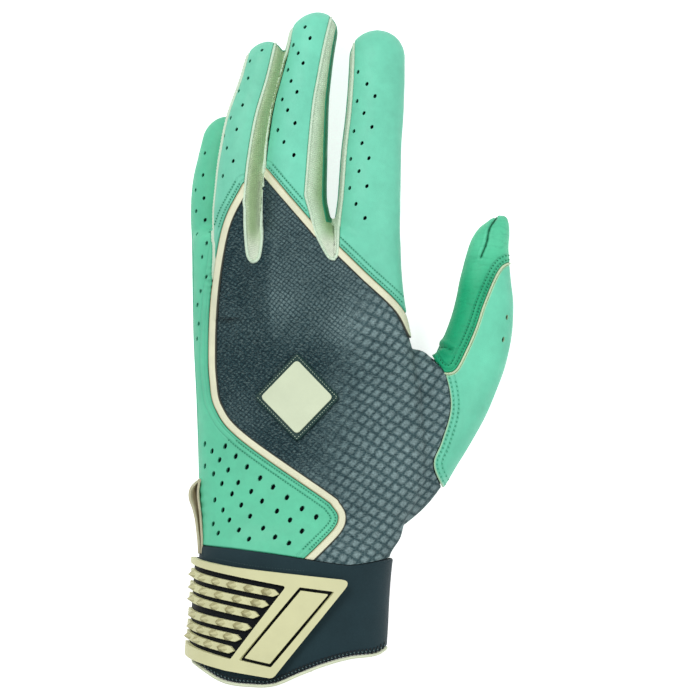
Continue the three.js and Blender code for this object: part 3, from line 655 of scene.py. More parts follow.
def hand_skin(f):
    """The hand and fingers without thumb and cuff."""
    return all_of(-f["thumb"] - SEAM_GAP, f["above_cuff"] - SEAM_GAP)


def on_back(f):
    return all_of(hand_skin(f), f["back"] - SEAM_GAP)


def on_thumb(f):
    return all_of(f["thumb"] - SEAM_GAP, f["thumb_back"] - SEAM_GAP)


def finger_zone(f, name, gap=SEAM_GAP):
    i = ORDER.index(name)
    sides = [f[f"split_{i - 1}"] - gap] if i > 0 else []
    if i < len(ORDER) - 1:
        sides.append(-f[f"split_{i}"] - gap)
    return all_of(*sides)


def past_pinky(f):
    """The skin that isn't on the pinky, which joins the hand at the web."""
    return any_of(f["split_0"] - SEAM_GAP, KNIT_WEB - f["y"])


def waves(points, size, first):
    """A slow, uneven rise and fall between -1 and 1."""
    total = 0
    for k in range(5):
        angle, wave = first + 2.4 * k, size * (1 + 0.31 * k)
        along = points[:, 0] * math.cos(angle) + points[:, 1] * math.sin(angle)
        across = points[:, 1] * math.cos(angle) - points[:, 0] * math.sin(angle)
        total = total + np.sin(along / wave * 2 * math.pi + 1.3 * k
                               + 1.1 * np.sin(across / wave * 4 + first))
    return total / 5


def bump_at(distance, width):
    return np.exp(-(distance / (width * MM))**2)


PUCKER_Y, PUCKER_INSET = 44 * MM, 2 * MM
SIDE_PUCKER_X, SIDE_PUCKER_Y = -36 * MM, -37 * MM


def leather_relief(f, points):
    """Gentle dents, with puckers where the pinky's leather meets the trim and at its side."""
    x, y = points[:, 0], points[:, 1]
    pucker = (bump_at(y - PUCKER_Y, 6) * bump_at(f["trim_left"] - PUCKER_INSET, 2.5)
              * np.sin(y / MM * 2.6 + x / MM * 1.1))
    side = (bump_at(x - SIDE_PUCKER_X, 2.5) * bump_at(y - SIDE_PUCKER_Y, 10)
            * np.sin(y / MM * 1.7))
    return 0.22 * waves(points, 15 * MM, 0.4) + 0.3 * pucker + 0.2 * side


def back_panel(name):
    def inside(f):
        x, y, finger = f["x"], f["y"], finger_zone(f, name)
        if name == "index":
            own = any_of(all_of(finger, y - LEATHER_WEB + LAP),
                         all_of(x - BACK_SPLIT, LEATHER_WEB + LAP - y))
        elif name == "pinky":
            left_of_ring = f["gusset_ring_left_seam"] - BEAD
            own = any_of(all_of(finger, y - LEATHER_WEB + WIDE_LAP),
                         all_of(BACK_SPLIT - x, LEATHER_WEB - y,
                                any_of(left_of_ring, RING_FOOT - y)),
                         all_of(left_of_ring, RING_GUSSET_FOOT - y, y - LEATHER_WEB + WIDE_LAP,
                                PINKY_LAP - x))
        elif name == "ring":
            right_of_seam = -f["gusset_ring_left_seam"] - BEAD
            own = all_of(right_of_seam, any_of(
                all_of(finger, y - LEATHER_WEB),
                all_of(LEATHER_WEB + WIDE_LAP - y, y - RING_FOOT, RING_LAP - x)))
        else:
            own = all_of(finger, y - LEATHER_WEB)
        return all_of(own, on_back(f), trim_seam(f) - SEAM_GAP, off_gussets(f, BEAD), -f["knit"])
    cut_panel(f"{name}_back", inside, relief=leather_relief, marks={"seam": trim_seam})


# Places of the knit's ridge, hollow and folds, in millimetres
RIDGE_X, HOLLOW_X = -12.5, -18.5
FAN_ROOT, FAN_MIDDLE, FAN_REACH = (52, 16), (44, 12), (7, 9)


def knit_relief(f, points):
    """A soft ridge down from the ring finger, and folds that fan from the thumb."""
    x, y = points[:, 0] / MM, points[:, 1] / MM
    down = np.clip((y + 12) / 25, 0, 1) * np.clip((52 - y) / 10, 0, 1)
    ridge = np.exp(-((x - RIDGE_X + 0.04 * (y - 20)) / 2.6)**2) * down
    hollow = np.exp(-((x - HOLLOW_X) / 4)**2) * down
    fan = (np.sin(np.arctan2(y - FAN_ROOT[1], x - FAN_ROOT[0]) * 16)
           * np.exp(-((x - FAN_MIDDLE[0]) / FAN_REACH[0])**2
                    - ((y - FAN_MIDDLE[1]) / FAN_REACH[1])**2))
    return 0.75 * ridge - 0.35 * hollow + 0.3 * fan + 0.18 * waves(points, 17 * MM, 1.9)


def gusset(name, finger):
    """A gusset's strip of knit and the sewn bead along its seam."""
    def sides(f):
        return all_of(finger_zone(f, finger, GUSSET_GAP), f["back"] - SEAM_GAP)

    def strip(f):
        own = all_of(sides(f), f[f"{name}_seam"] - BEAD)
        return all_of(own, -f["shaded_middle_side"]) if name == "gusset_middle_right" else own

    def bead(f):
        own = all_of(sides(f), BEAD - np.abs(f[f"{name}_seam"]))
        if name == "gusset_ring_left":
            return all_of(own, trim_seam(f), f["y"] - RING_FOOT)
        return own

    if name not in BEAD_ONLY:
        cut_panel(f"{name}_strip", strip, level=-0.45, rolled=0, loops=(0.3,), thick=0.4,
                  relief=lambda f, points: 0.12 * waves(points, 7 * MM, 3),
                  marks={"across": lambda f: f[f"{name}_seam"], "down": lambda f: f["y"]})
    cut_panel(f"{name}_bead", bead, level=-0.5, rolled=0, crown=0.65, width=1,
              loops=(0.1, 0.25, 0.4), thick=0.3,
              relief=lambda f, points: 0.1 * np.sin(points[:, 1] / MM * 5.2))


def thumb_relief(f, points):
    """The turned seam at the tip, and the fold at the root of the inner panel."""
    return (0.35 * bump_at(f["tip_seam"] - 1 * MM, 0.7) - 0.9 * bump_at(f["tip_seam"], 0.35)
            + 0.5 * bump_at(f["thumb_fold"] - 1.6 * MM, 1.2) - 0.8 * bump_at(f["thumb_fold"], 0.6)
            + 0.15 * waves(points, 9 * MM, 2.2))


for name in ORDER:
    back_panel(name)
cut_panel("knit_panel", lambda f: all_of(f["knit"], on_back(f), past_pinky(f)),
          level=-0.8, rolled=0, loops=(), thick=0.6, relief=knit_relief)
for name in TRIM_SEAMS:
    cut_panel(f"{name}_binding",
              lambda f: all_of(TRIM_HALF - f[name], on_back(f), off_gussets(f, SEAM_GAP),
                               past_pinky(f)),
              loops=(0.1, 0.25, 0.5, 0.9), rolled=0, level=-0.5, crown=0.5, width=2.2, thick=0.4,
              marks={"across": lambda f: f["knit"]})
for name, (finger, *_) in GUSSETS.items():
    gusset(name, finger)
cut_panel("shaded_middle_side", lambda f: all_of(f["shaded_middle_side"], f["gusset_middle_right"],
                                          f["back"] - SEAM_GAP), level=-0.3, loops=(0.12, 0.3))
cut_panel("palm", lambda f: all_of(-f["back"] - SEAM_GAP, hand_skin(f)), loops=(0.3,),
          rolled=0.4, keep=0.35)
cut_panel("thumb_outer", lambda f: all_of(on_thumb(f), f["outer_thumb"] - PIPING_HALF),
          relief=lambda f, points: 0.2 * waves(points, 14 * MM, 1),
          marks={"seam": lambda f: f["thumb"]})
cut_panel("thumb_inner", lambda f: all_of(on_thumb(f), -f["outer_thumb"] - PIPING_HALF),
          relief=thumb_relief,
          marks={"seam": lambda f: -f["outer_thumb"] - PIPING_HALF,
                 "groove": lambda f: np.minimum(f["tip_seam"], f["thumb_fold"]),
                 "down": lambda f: f["y"]})
cut_panel("thumb_front", lambda f: all_of(f["thumb"] - SEAM_GAP, -f["thumb_back"] - SEAM_GAP),
          loops=(0.3,), rolled=0.4)
cut_panel("piping", lambda f: all_of(on_thumb(f), PIPING_HALF - np.abs(f["outer_thumb"])),
          loops=(0.1, 0.25), rolled=0, level=-0.2, crown=0.6, width=0.8, thick=0.6)
cut_panel("cuff", lambda f: all_of(-f["above_cuff"] - SEAM_GAP, f["above_hem"] - HEM_HALF),
          level=0.5, thick=1.2, rolled=0.8, loops=(0.1, 0.25, 0.5, 0.8),
          relief=lambda f, points: 0.2 * waves(points, 16 * MM, 4))
cut_panel("hem", lambda f: HEM_HALF - np.abs(f["above_hem"]), loops=(0.1, 0.25, 0.4), rolled=0,
          level=0.1, crown=0.7, width=1.2, thick=1.2)

# The lining follows the hand inside the leather, open at the wrist
LINING_INSET, LINING_VOXEL, LINING_FLOOR = 1.8 * MM, 1.1 * MM, 1.6 * MM
MOUTH = -0.369 * LENGTH
lining = hand_form("lining", -LINING_INSET, LINING_VOXEL)
modify(lining, "SMOOTH", factor=0.5, iterations=4)
set_points(lining, np.maximum(points_of(lining), (-FAR, -FAR, LINING_FLOOR)))
edit(lining)
bpy.ops.mesh.bisect(plane_co=(0, MOUTH, 0), plane_no=(0, 1, 0), clear_inner=True)
done()
modify(lining, "DECIMATE", ratio=0.4)
modify(lining, "SOLIDIFY", thickness=0.3 * MM, offset=-1, use_rim=True)
only(lining)
bpy.ops.object.shade_smooth()
remove(form)


# ---- Perforations

def land(place, level=0):
    """The point over a plan place at a level on the back, the skin's normal and triangle."""
    point, normal, triangle, _ = skin_tree.ray_cast(Vector((*place, FAR)), Vector((0, 0, -1)))
    return (None if point is None else point + normal * level), normal, triangle


def seen_over(place):
    """The plan place of what the camera sees over another, as the back is nearer to it."""
    level = land(place)[0].z
    return CAMERA_FOOT + (place - CAMERA_FOOT) * (1 - (level - VIEW_LEVEL) / VIEW_DISTANCE)


def turned(normal, along):
    """Axes of a small shape that lies on the skin: along, across and up."""
    up = normal.normalized()
    across = up.cross(Vector((along[0], along[1], 0))).normalized()
    return across.cross(up), across, up


def scattered(name, shape, spots):
    """Copies of a small shape in one mesh; a spot is a point, its axes and three sizes."""
    corners = points_of(shape)
    faces = [list(face.vertices) for face in shape.data.polygons]
    points, polygons = [], []
    for point, axes, sizes in spots:
        polygons += [[len(points) * len(corners) + i for i in face] for face in faces]
        points.append(np.array(point) + (corners * sizes) @ np.array([list(a) for a in axes]))
    piece = new_piece(name, np.vstack(points).tolist(), polygons)
    # Copies the painted shade of the studs' facets.
    if "top" in shape.data.attributes:
        tops = [value.value for value in shape.data.attributes["top"].data]
        write_mark(piece, "top", "FACE", tops * len(spots))
    return piece


# Holes: half width, half length and plan places, in millimetres
HOLES = dict(
    index=(0.46, 0.62, [
        (20.9, 118.1), (24.1, 113.8), (27, 109.4), (20.5, 107.6), (23, 103.3), (25.9, 98.3),
        (19.4, 96.8), (22.3, 92.5), (18.2, 86.8), (24.8, 87.1), (21.2, 82.4), (17.9, 76.3),
        (24.1, 77), (20.2, 70.6), (23.4, 65.5)]),
    middle=(0.46, 0.62, [
        (1.8, 134.3), (3.6, 130.3), (-2.5, 127.8), (-0.7, 124.9), (1.1, 121.3), (-4.3, 118.8),
        (-3.2, 114.8), (-1.1, 110.9), (-6.4, 108.2), (-4.5, 104.4), (-1.8, 99.7), (-8, 97.2),
        (-5.8, 92.9), (-2.2, 88.2)]),
    ring=(0.4, 0.55, [
        (-13.7, 126), (-18, 122), (-18.7, 115.9), (-22, 111.2), (-20.7, 106.2), (-24.9, 101.5),
        (-22.8, 97.4), (-27.2, 95), (-26.4, 90.7), (-24.1, 86), (-27.7, 80.6)]),
    pinky=(0.42, 0.55, [
        (-34.2, 88.9), (-34.9, 81), (-37.6, 75.6), (-34.6, 72.7), (-37.4, 68), (-34.2, 64.8),
        (-37.1, 59.8), (-33.6, 56.5), (-35.3, 51.5), (-33.8, 44.3), (-35.8, 39.2),
        (-36.9, 34.2), (-36.4, 27.4), (-37, 22)]),
    lower=(0.58, 0.82, [
        (-34.3, -15.8), (-31.7, -18.4), (-27, -16.6), (-29, -21.6), (-23.2, -20.2),
        (-34.2, -23.8), (-31.1, -26.6), (-25.9, -25.2), (-19.1, -24.1), (-28.1, -30.1),
        (-22.3, -29.7), (-14.4, -28.1), (-24.5, -33.8), (-17.6, -32.9), (-9.7, -31.3),
        (-30.6, -36), (-21.2, -37.8), (-13.7, -36.4), (-4.7, -35.1), (-27.7, -39.6),
        (-18, -41.8), (-8.3, -40), (0.7, -39.1), (-31.3, -44.6), (-25.4, -43.2),
        (-13.3, -46.1), (-3.6, -43.2), (5.8, -42.1), (-29.5, -47.9), (-22, -46.8),
        (-9, -49.3), (0.7, -47.2), (-18.4, -50), (-4, -51.5)]),
    thumb=(0.55, 0.8, [(74.6, 29.8), (73.2, 21.8)]),
)
HOLE_LEAN = math.radians(65)
HOLE_WIDEN = 1.22
HOLE_DEPTH = 2 * MM


def perforate(piece, *sets):
    bpy.ops.mesh.primitive_cylinder_add(vertices=14, radius=1, depth=2, end_fill_type="NGON")
    punch = made("punch")
    along = (math.cos(HOLE_LEAN), math.sin(HOLE_LEAN))
    wide = HOLE_WIDEN * MM
    spots = []
    for half_width, half_length, places in (HOLES[name] for name in sets):
        for place in places:
            point, normal, _ = land(seen_over(np.array(place) * MM))
            spots.append((point, turned(normal, along),
                          (half_length * wide, half_width * wide, HOLE_DEPTH)))
    punches = scattered("punches", punch, spots)
    face_outwards(punches)
    cut_out(piece, punches)
    remove(punch)
    shade(piece, SHARP)


for panel, *sets in (("index_back", "index"), ("middle_back", "middle"), ("ring_back", "ring"),
                     ("pinky_back", "pinky", "lower"), ("thumb_outer", "thumb")):
    perforate(bpy.data.objects[panel], *sets)


# ---- Stitching

def beside(line, by):
    """A line moved sideways in plan, with the loops at tight bends left out."""
    step = np.gradient(line, axis=0)
    step /= np.linalg.norm(step, axis=1)[:, None]
    moved = line + by * np.column_stack([-step[:, 1], step[:, 0]])
    gaps = np.linalg.norm(moved[:, None] - line[None], axis=2).min(axis=1)
    return moved[gaps > abs(by) * 0.97]


def paced(line, pitch):
    """Places at an even pitch along a line, each with its direction."""
    lengths = np.concatenate([[0], np.cumsum(np.linalg.norm(np.diff(line, axis=0), axis=1))])
    stops = np.arange(pitch / 2, lengths[-1], pitch)
    places = np.column_stack([np.interp(stops, lengths, line[:, k]) for k in (0, 1)])
    return places, np.gradient(places, axis=0)


def sew(name, rows, pitch, length, width, level, slant=0, keep=None):
    """Rows of short stitches along plan lines; slant turns them to the line, in degrees."""
    thread = ball("thread", 6, 5)
    c, s = math.cos(math.radians(slant)), math.sin(math.radians(slant))
    sizes = (length / 2 * MM, width / 2 * MM, width / 2 * MM)
    spots = []
    for line in rows:
        for place, along in zip(*paced(line, pitch * MM)):
            if keep is not None and not keep(place):
                continue
            point, normal, _ = land(place, level * MM)
            if point is None or normal.z < 0.15:
                continue
            way = (along[0] * c - along[1] * s, along[1] * c + along[0] * s)
            spots.append((point, turned(normal, way), sizes))
    piece = scattered(name, thread, spots)
    remove(thread)
    only(piece)
    bpy.ops.object.shade_smooth()


def beside_all(line, *by):
    return [beside(line, one * MM) for one in by]


BARE_EDGE = (-14 * MM, 62 * MM)
ROWS_END = -53 * MM
CLEAR = 1.1 * MM


def beside_trims(place):
    """Whether a plan place has stitches: on the back's leather, clear of knit and gussets."""
    triangle = land(place)[2]
    if triangle is None or place[0] < 0 and BARE_EDGE[0] < place[1] < BARE_EDGE[1]:
        return False
    f = {name: values[form_triangles[triangle]].mean() for name, values in FIELDS.items()}
    return (off_gussets(f, CLEAR) > 0 and abs(f["gusset_ring_left_seam"]) > CLEAR
            and f["knit"] < -TRIM_HALF and f["y"] > ROWS_END)


trim_rows = []
for name, side in (("trim_left", -MM), ("trim_middle", MM), ("trim_index", MM)):
    trim_rows += [beside(trim_lines[name], side * inset) for inset in STITCH_INSETS]
cuff_row = smooth([(-0.49, -0.232), (-0.4, -0.2345), (-0.209, -0.2445), (0.02, -0.2515)])
sew("trim_stitches", trim_rows, 1.05, 0.6, 0.5, 0.16, keep=beside_trims)
sew("thumb_stitches", beside_all(thumb_line, 1.2, 3), 1.6, 0.75, 0.45, 0.12,
    keep=lambda place: -31 * MM < place[1] < 8 * MM)
sew("piping_stitches", beside_all(piping_line, -1.4, -3), 1.2, 0.62, 0.52, 0.1,
    keep=lambda place: place[1] > 12 * MM)
sew("tip_stitches", [smooth(TIP_SEAM)], 0.3, 0.7, 0.36, 0.12)
sew("hem_stitches", beside_all(cuff_bottom_line, 1.15, 2.05), 1.35, 1.7, 0.8, 0.55, 32)
sew("hem_ticks", beside_all(cuff_bottom_line, 1.6), 1.35, 0.85, 0.36, 0.9, -50)
sew("cuff_stitches", [cuff_row], 1, 0.55, 0.24, 0.5)


# ---- Badge: a four-cornered plate on a rubber rim

def plate(name, outline, radius, low, high, bevel=0, segments=3):
    """A flat plate between two levels; corners and upper rim are rounded, all in millimetres."""
    outline = rounded(outline, radius) if radius else outline
    piece = new_piece(name, [(x, y, low * MM) for x, y in outline], [list(range(len(outline)))])
    edit(piece)
    bpy.ops.mesh.extrude_region_move(TRANSFORM_OT_translate={"value": (0, 0, (high - low) * MM)})
    if bevel:
        bpy.ops.mesh.bevel(offset=bevel * MM, segments=segments, affect="EDGES",
                           clamp_overlap=True)
    done()
    face_outwards(piece)
    return piece


def cross_slice(piece, axis, pitch):
    """Rows of points across a flat plate, so that it can be bent."""
    reach = points_of(piece)[:, axis]
    way = np.eye(3)[axis]
    edit(piece)
    for stop in np.arange(reach.min() + pitch, reach.max(), pitch):
        bpy.ops.mesh.select_all(action="SELECT")
        bpy.ops.mesh.bisect(plane_co=way * stop, plane_no=way)
    done()


def rounded(outline, radius, segments=5):
    """A closed outline with its corners rounded, by a radius in millimetres."""
    outline = np.array(outline, float)
    result = []
    for before, point, after in zip(np.roll(outline, 1, axis=0), outline,
                                    np.roll(outline, -1, axis=0)):
        far = [np.linalg.norm(other - point) for other in (before, after)]
        a, b = (before - point) / far[0], (after - point) / far[1]
        half = math.acos(np.clip(a @ b, -1, 1)) / 2
        reach = min(radius * MM / math.tan(half), far[0] / 2.2, far[1] / 2.2)
        for t in np.linspace(0, 1, segments + 1):
            result.append((1 - t)**2 * (point + a * reach) + 2 * t * (1 - t) * point
                          + t**2 * (point + b * reach))
    return np.array(result)


def outset(outline, by):
    """A closed outline with each side moved outward."""
    outline = np.array(outline, float)
    area = np.sum(outline[:, 0] * np.roll(outline[:, 1], -1)
                  - np.roll(outline[:, 0], -1) * outline[:, 1])
    side = np.roll(outline, -1, axis=0) - outline
    side /= np.linalg.norm(side, axis=1)[:, None]
    out = np.column_stack([side[:, 1], -side[:, 0]]) * np.sign(area)
    miter = out + np.roll(out, 1, axis=0)
    return outline + 2 * by * miter / (miter**2).sum(axis=1)[:, None]


BADGE_MIDDLE = plan((-0.014, 0.004))
BADGE_HALF = (0.17 * BREADTH, 0.055 * LENGTH)
BADGE_SLICE = 1.5 * MM
PLATE_SHARP, RIB_SHARP, TAB_SHARP = 35, 18, 40


def badge_outline(grow):
    middle, (across, along) = BADGE_MIDDLE, BADGE_HALF
    return outset([middle + (-across, 0), middle + (0, -along), middle + (across, 0),
                   middle + (0, along)], grow * MM)


for name, grow, low, high, bevel in (
        ("badge_rim", 1.8, -0.75, 0.5, 0.35), ("badge_plate", 0, 0.3, 1.25, 0.3)):
    piece = plate(name, badge_outline(grow), 1.6, low, high, bevel)
    cross_slice(piece, 0, BADGE_SLICE)
    cross_slice(piece, 1, BADGE_SLICE)
    set_points(piece, np.array([list(land((x, y), z)[0]) for x, y, z in points_of(piece)]))
    shade(piece, PLATE_SHARP)
    modify(piece, "WEIGHTED_NORMAL", keep_sharp=True)
rim = badge_outline(0.95)
rim_line = np.vstack([np.linspace(a, b, 20, endpoint=False)
                      for a, b in zip(rim, np.roll(rim, -1, axis=0))])
sew("badge_stitches", [rim_line], 1, 0.6, 0.22, 0.5)


# ---- Strap: made flat, then wrapped round the wrist

WRIST_Y = -0.3 * LENGTH
wrist_x, wrist_width, wrist_depth, wrist_z, _ = row_at(HAND, [WRIST_Y])[0]
WRAP_LEVEL = 2.2 * MM
HINGE_LEVEL = wrist_z + 1.4 * MM
SLICE = 1.3 * MM
turn = np.linspace(-0.4, 1.3, 3000) * math.pi
skin_x = wrist_x + (wrist_width + WRAP_LEVEL) * cornered(np.cos(turn), HAND)
skin_z = wrist_z + (wrist_depth + WRAP_LEVEL) * cornered(np.sin(turn), HAND)
arc = np.concatenate([[0], np.cumsum(np.hypot(np.diff(skin_x), np.diff(skin_z)))])
arc = np.interp(math.pi / 2, turn, arc) - arc
left = turn > math.pi / 2
fold = float(np.interp(-HINGE_LEVEL, -skin_z[left], arc[left]))


def bend(piece, angle):
    """Bends a flat piece round the wrist: x is the length round it, z the level."""
    points = points_of(piece)
    t = np.interp(-points[:, 0], -arc, turn)
    c, s = cornered(np.cos(t), HAND), cornered(np.sin(t), HAND)
    row = row_at(HAND, points[:, 1])
    set_points(piece, np.column_stack([row[:, 0] + (row[:, 1] + points[:, 2]) * c, points[:, 1],
                                       wrist_z + (wrist_depth + points[:, 2]) * s]))
    shade(piece, angle)


def wrap(piece, weighted=False):
    """Gives a flat piece rows of points and bends it, with or without evened shading."""
    cross_slice(piece, 0, SLICE)
    bend(piece, PLATE_SHARP)
    if weighted:
        modify(piece, "WEIGHTED_NORMAL", keep_sharp=True)


def flat(*shares):
    """Flat places of plan shares; nothing for x stands for the fold."""
    places = []
    for x, y in shares:
        round_wrist = fold
        if x is not None:
            row = row_at(HAND, [y * LENGTH])[0]
            across = (x * BREADTH - row[0]) / (row[1] + WRAP_LEVEL)
            angle = math.acos(math.copysign(abs(across) ** (1 / HAND["corner"]), across))
            round_wrist = float(np.interp(angle, turn, arc))
        places.append((round_wrist, y * LENGTH))
    return places


STRAP = flat((None, -0.2285), (-0.3, -0.2435), (0.237, -0.2627), (-0.1239, -0.4053),
             (-0.3394, -0.394), (None, -0.371))
past_fold = fold - 2 * MM
WINDOW = [(past_fold, -0.235 * LENGTH), *flat((-0.0607, -0.2707), (-0.3159, -0.3775)),
          (past_fold, -0.351 * LENGTH)]
LABEL = flat((0.003, -0.2744), (0.146, -0.2806), (-0.1343, -0.3864), (-0.2651, -0.377))
PATCH = flat((-0.25, -0.26), (0.1, -0.275), (-0.13, -0.37), (-0.4, -0.36))
ANCHOR = [(fold - inset * MM, y * LENGTH) for inset, y in (
    (0.5, -0.2305), (0.5, -0.362), (20, -0.362), (20, -0.235))]
GROOVE = 0.55 * MM
FRONT_LOW, FRONT_TOP = 1.8, 3.4
wrap(plate("strap_back", outset(STRAP, -0.5 * MM), 1.5, 0.9, 1.7, 0.3), weighted=True)
front = plate("strap_front", STRAP, 2.2, FRONT_LOW, FRONT_TOP)
for outline, radius in ((WINDOW, 0.9), (outset(LABEL, GROOVE), 0.5)):
    cut_out(front, plate("opening", outline, radius, 0, 9))
edit(front)
bpy.ops.mesh.dissolve_limited(angle_limit=math.radians(1))
done()
modify(front, "BEVEL", width=0.75 * MM, segments=5, limit_method="ANGLE",
       angle_limit=math.radians(SHARP))
wrap(front, weighted=True)
wrap(plate("strap_blank", outset(LABEL, -GROOVE), 0.4, FRONT_LOW, FRONT_TOP, 0.25),
     weighted=True)

# Ribs: end in plan, slope, pitch of the studs in millimetres
RIBS = [((-0.0939, -0.2822), 0.183, 6.4), ((-0.1426, -0.2983), 0.185, 7),
        ((-0.1862, -0.3141), 0.1935, 6.2), ((-0.2247, -0.332), 0.174, 6.8),
        ((-0.2716, -0.3481), 0.187, 5.9), ((-0.3017, -0.3655), 0.226, 5.8)]
RIB_HALF = 1.3 * MM
RIB_POINT = 1.9 * MM
RIB_TOP = 3.1
STUD_LEVEL = 3.05 * MM
STUD_SIZES = (2.15 * MM, 1.42 * MM, 1.7 * MM)
FIRST_STUD, LAST_STUD = 4.6 * MM, 3 * MM
# Painted shade on the studs' facets: darkest facing left, lightest facing right.
STUD_FACET_SHADES = dict(left=1.0, right=0.45, other=0.75)
bpy.ops.object.select_all(action="DESELECT")
bpy.ops.mesh.primitive_circle_add(vertices=6, radius=1, fill_type="NGON",
                                  rotation=(0, 0, math.pi / 6))
stud = made("stud")
bpy.ops.object.transform_apply(location=False, rotation=True, scale=False)
edit(stud)
bpy.ops.mesh.extrude_region_move(TRANSFORM_OT_translate={"value": (0, 0, 1)})
bpy.ops.transform.resize(value=(0.16, 0.1, 1), center_override=(0, 0, 1))
done()
# Each facet holds its painted shade.
write_mark(stud, "top", "FACE", [
    STUD_FACET_SHADES["left" if face.normal.x < -0.1 else "right" if face.normal.x > 0.1 else "other"]
    for face in stud.data.polygons])
for i, (end, slope, pitch) in enumerate(RIBS):
    tip = np.array(flat(end)[0])
    along = np.array([1, -slope]) / math.hypot(1, slope)
    across = np.array([slope, 1]) / math.hypot(1, slope)
    length = (tip[0] - fold) / along[0]
    shoulder = tip - along * RIB_POINT
    far = tip - along * length
    half = across * RIB_HALF
    bar = plate(f"rib_{i + 1}", [far - half, shoulder - half, tip, shoulder + half, far + half],
                0, FRONT_LOW, RIB_TOP, 0.2, 2)
    cross_slice(bar, 0, SLICE)
    axes = ((*along, 0), (*across, 0), (0, 0, 1))
    studs = scattered("studs", stud, [
        ((*(tip - along * stop), STUD_LEVEL), axes, STUD_SIZES)
        for stop in np.arange(FIRST_STUD, length - LAST_STUD, pitch * MM)])
    face_outwards(studs)
    only(bar, studs)
    bpy.ops.object.join()
    bend(bar, RIB_SHARP)
remove(stud)
wrap(plate("strap_end", ANCHOR, 1.5, 0.9, 1.9, 0.3))
wrap(plate("loop_pile", PATCH, 1.5, 0.3, 0.75))
wrap(plate("hook_tape", PATCH, 1.5, 0.8, 1.1))


# ---- Pull tab: a band of webbing that leans off the side of the glove

TAB_STAND = curve([(0, 0), (0.08, 0.9), (0.16, 1.35), (0.27, 1.4), (0.4, 1.05), (0.55, 0.8),
                   (0.75, 0.65), (1, 0.4)])
TAB_TOP, TAB_LENGTH = -0.1165 * LENGTH, 0.109 * LENGTH
TAB_HALF, TAB_RISE = 3.4 * MM, 2 * MM
layers = []
for name, share in (("tab", 1), ("tab_inner", 0.25)):
    bpy.ops.mesh.primitive_grid_add(x_subdivisions=8, y_subdivisions=44, size=2)
    layer = made(name)
    across, along, _ = points_of(layer).T
    down, lean = (along + 1) / 2, (1 + across) / 2
    y = TAB_TOP - TAB_LENGTH * down
    stand = share * 2.7 * np.interp(down, *TAB_STAND.T)
    row = row_at(HAND, y)
    set_points(layer, np.column_stack([
        row[:, 0] - row[:, 1] + (0.2 - stand * (0.3 + lean * 0.8) + 0.5 * lean) * MM,
        y, row[:, 3] - row[:, 4] + across * TAB_HALF + TAB_RISE]))
    modify(layer, "SOLIDIFY", thickness=0.9 * MM, offset=0)
    modify(layer, "BEVEL", width=0.3 * MM, segments=3, limit_method="ANGLE",
           angle_limit=math.radians(60))
    layers.append(layer)
only(*layers)
bpy.ops.object.join()
face_outwards(layers[0])
shade(layers[0], TAB_SHARP)


# ---- Finishes

def colour(red, green, blue):
    """A surface colour from its screen values."""
    return tuple((c / 255 / 12.92 if c <= 10 else ((c / 255 + 0.055) / 1.055) ** 2.4)
                 for c in (red, green, blue)) + (1,)


class Value:
    """What a node gives; sums, products and steps of it make new nodes."""

    def __init__(self, finish, socket):
        self.finish, self.socket = finish, socket

    def by(self, operation, other=0.0, **settings):
        return self.finish.node("Math", {0: self, 1: other}, operation=operation, **settings)

    def __add__(self, other):
        return self.by("ADD", other)

    def __sub__(self, other):
        return self.by("SUBTRACT", other)

    def __mul__(self, other):
        return self.by("MULTIPLY", other)

    def __truediv__(self, other):
        return self.by("DIVIDE", other)

    def there_and_back(self, reach):
        return self.by("PINGPONG", reach)

    def step(self, low, high, to_low=0.0, to_high=1.0):
        """A soft change from one value to another while this one goes from low to high."""
        return self.finish.node("MapRange", {
            "Value": self, "From Min": low, "From Max": high, "To Min": to_low,
            "To Max": to_high}, "Result", interpolation_type="SMOOTHSTEP")


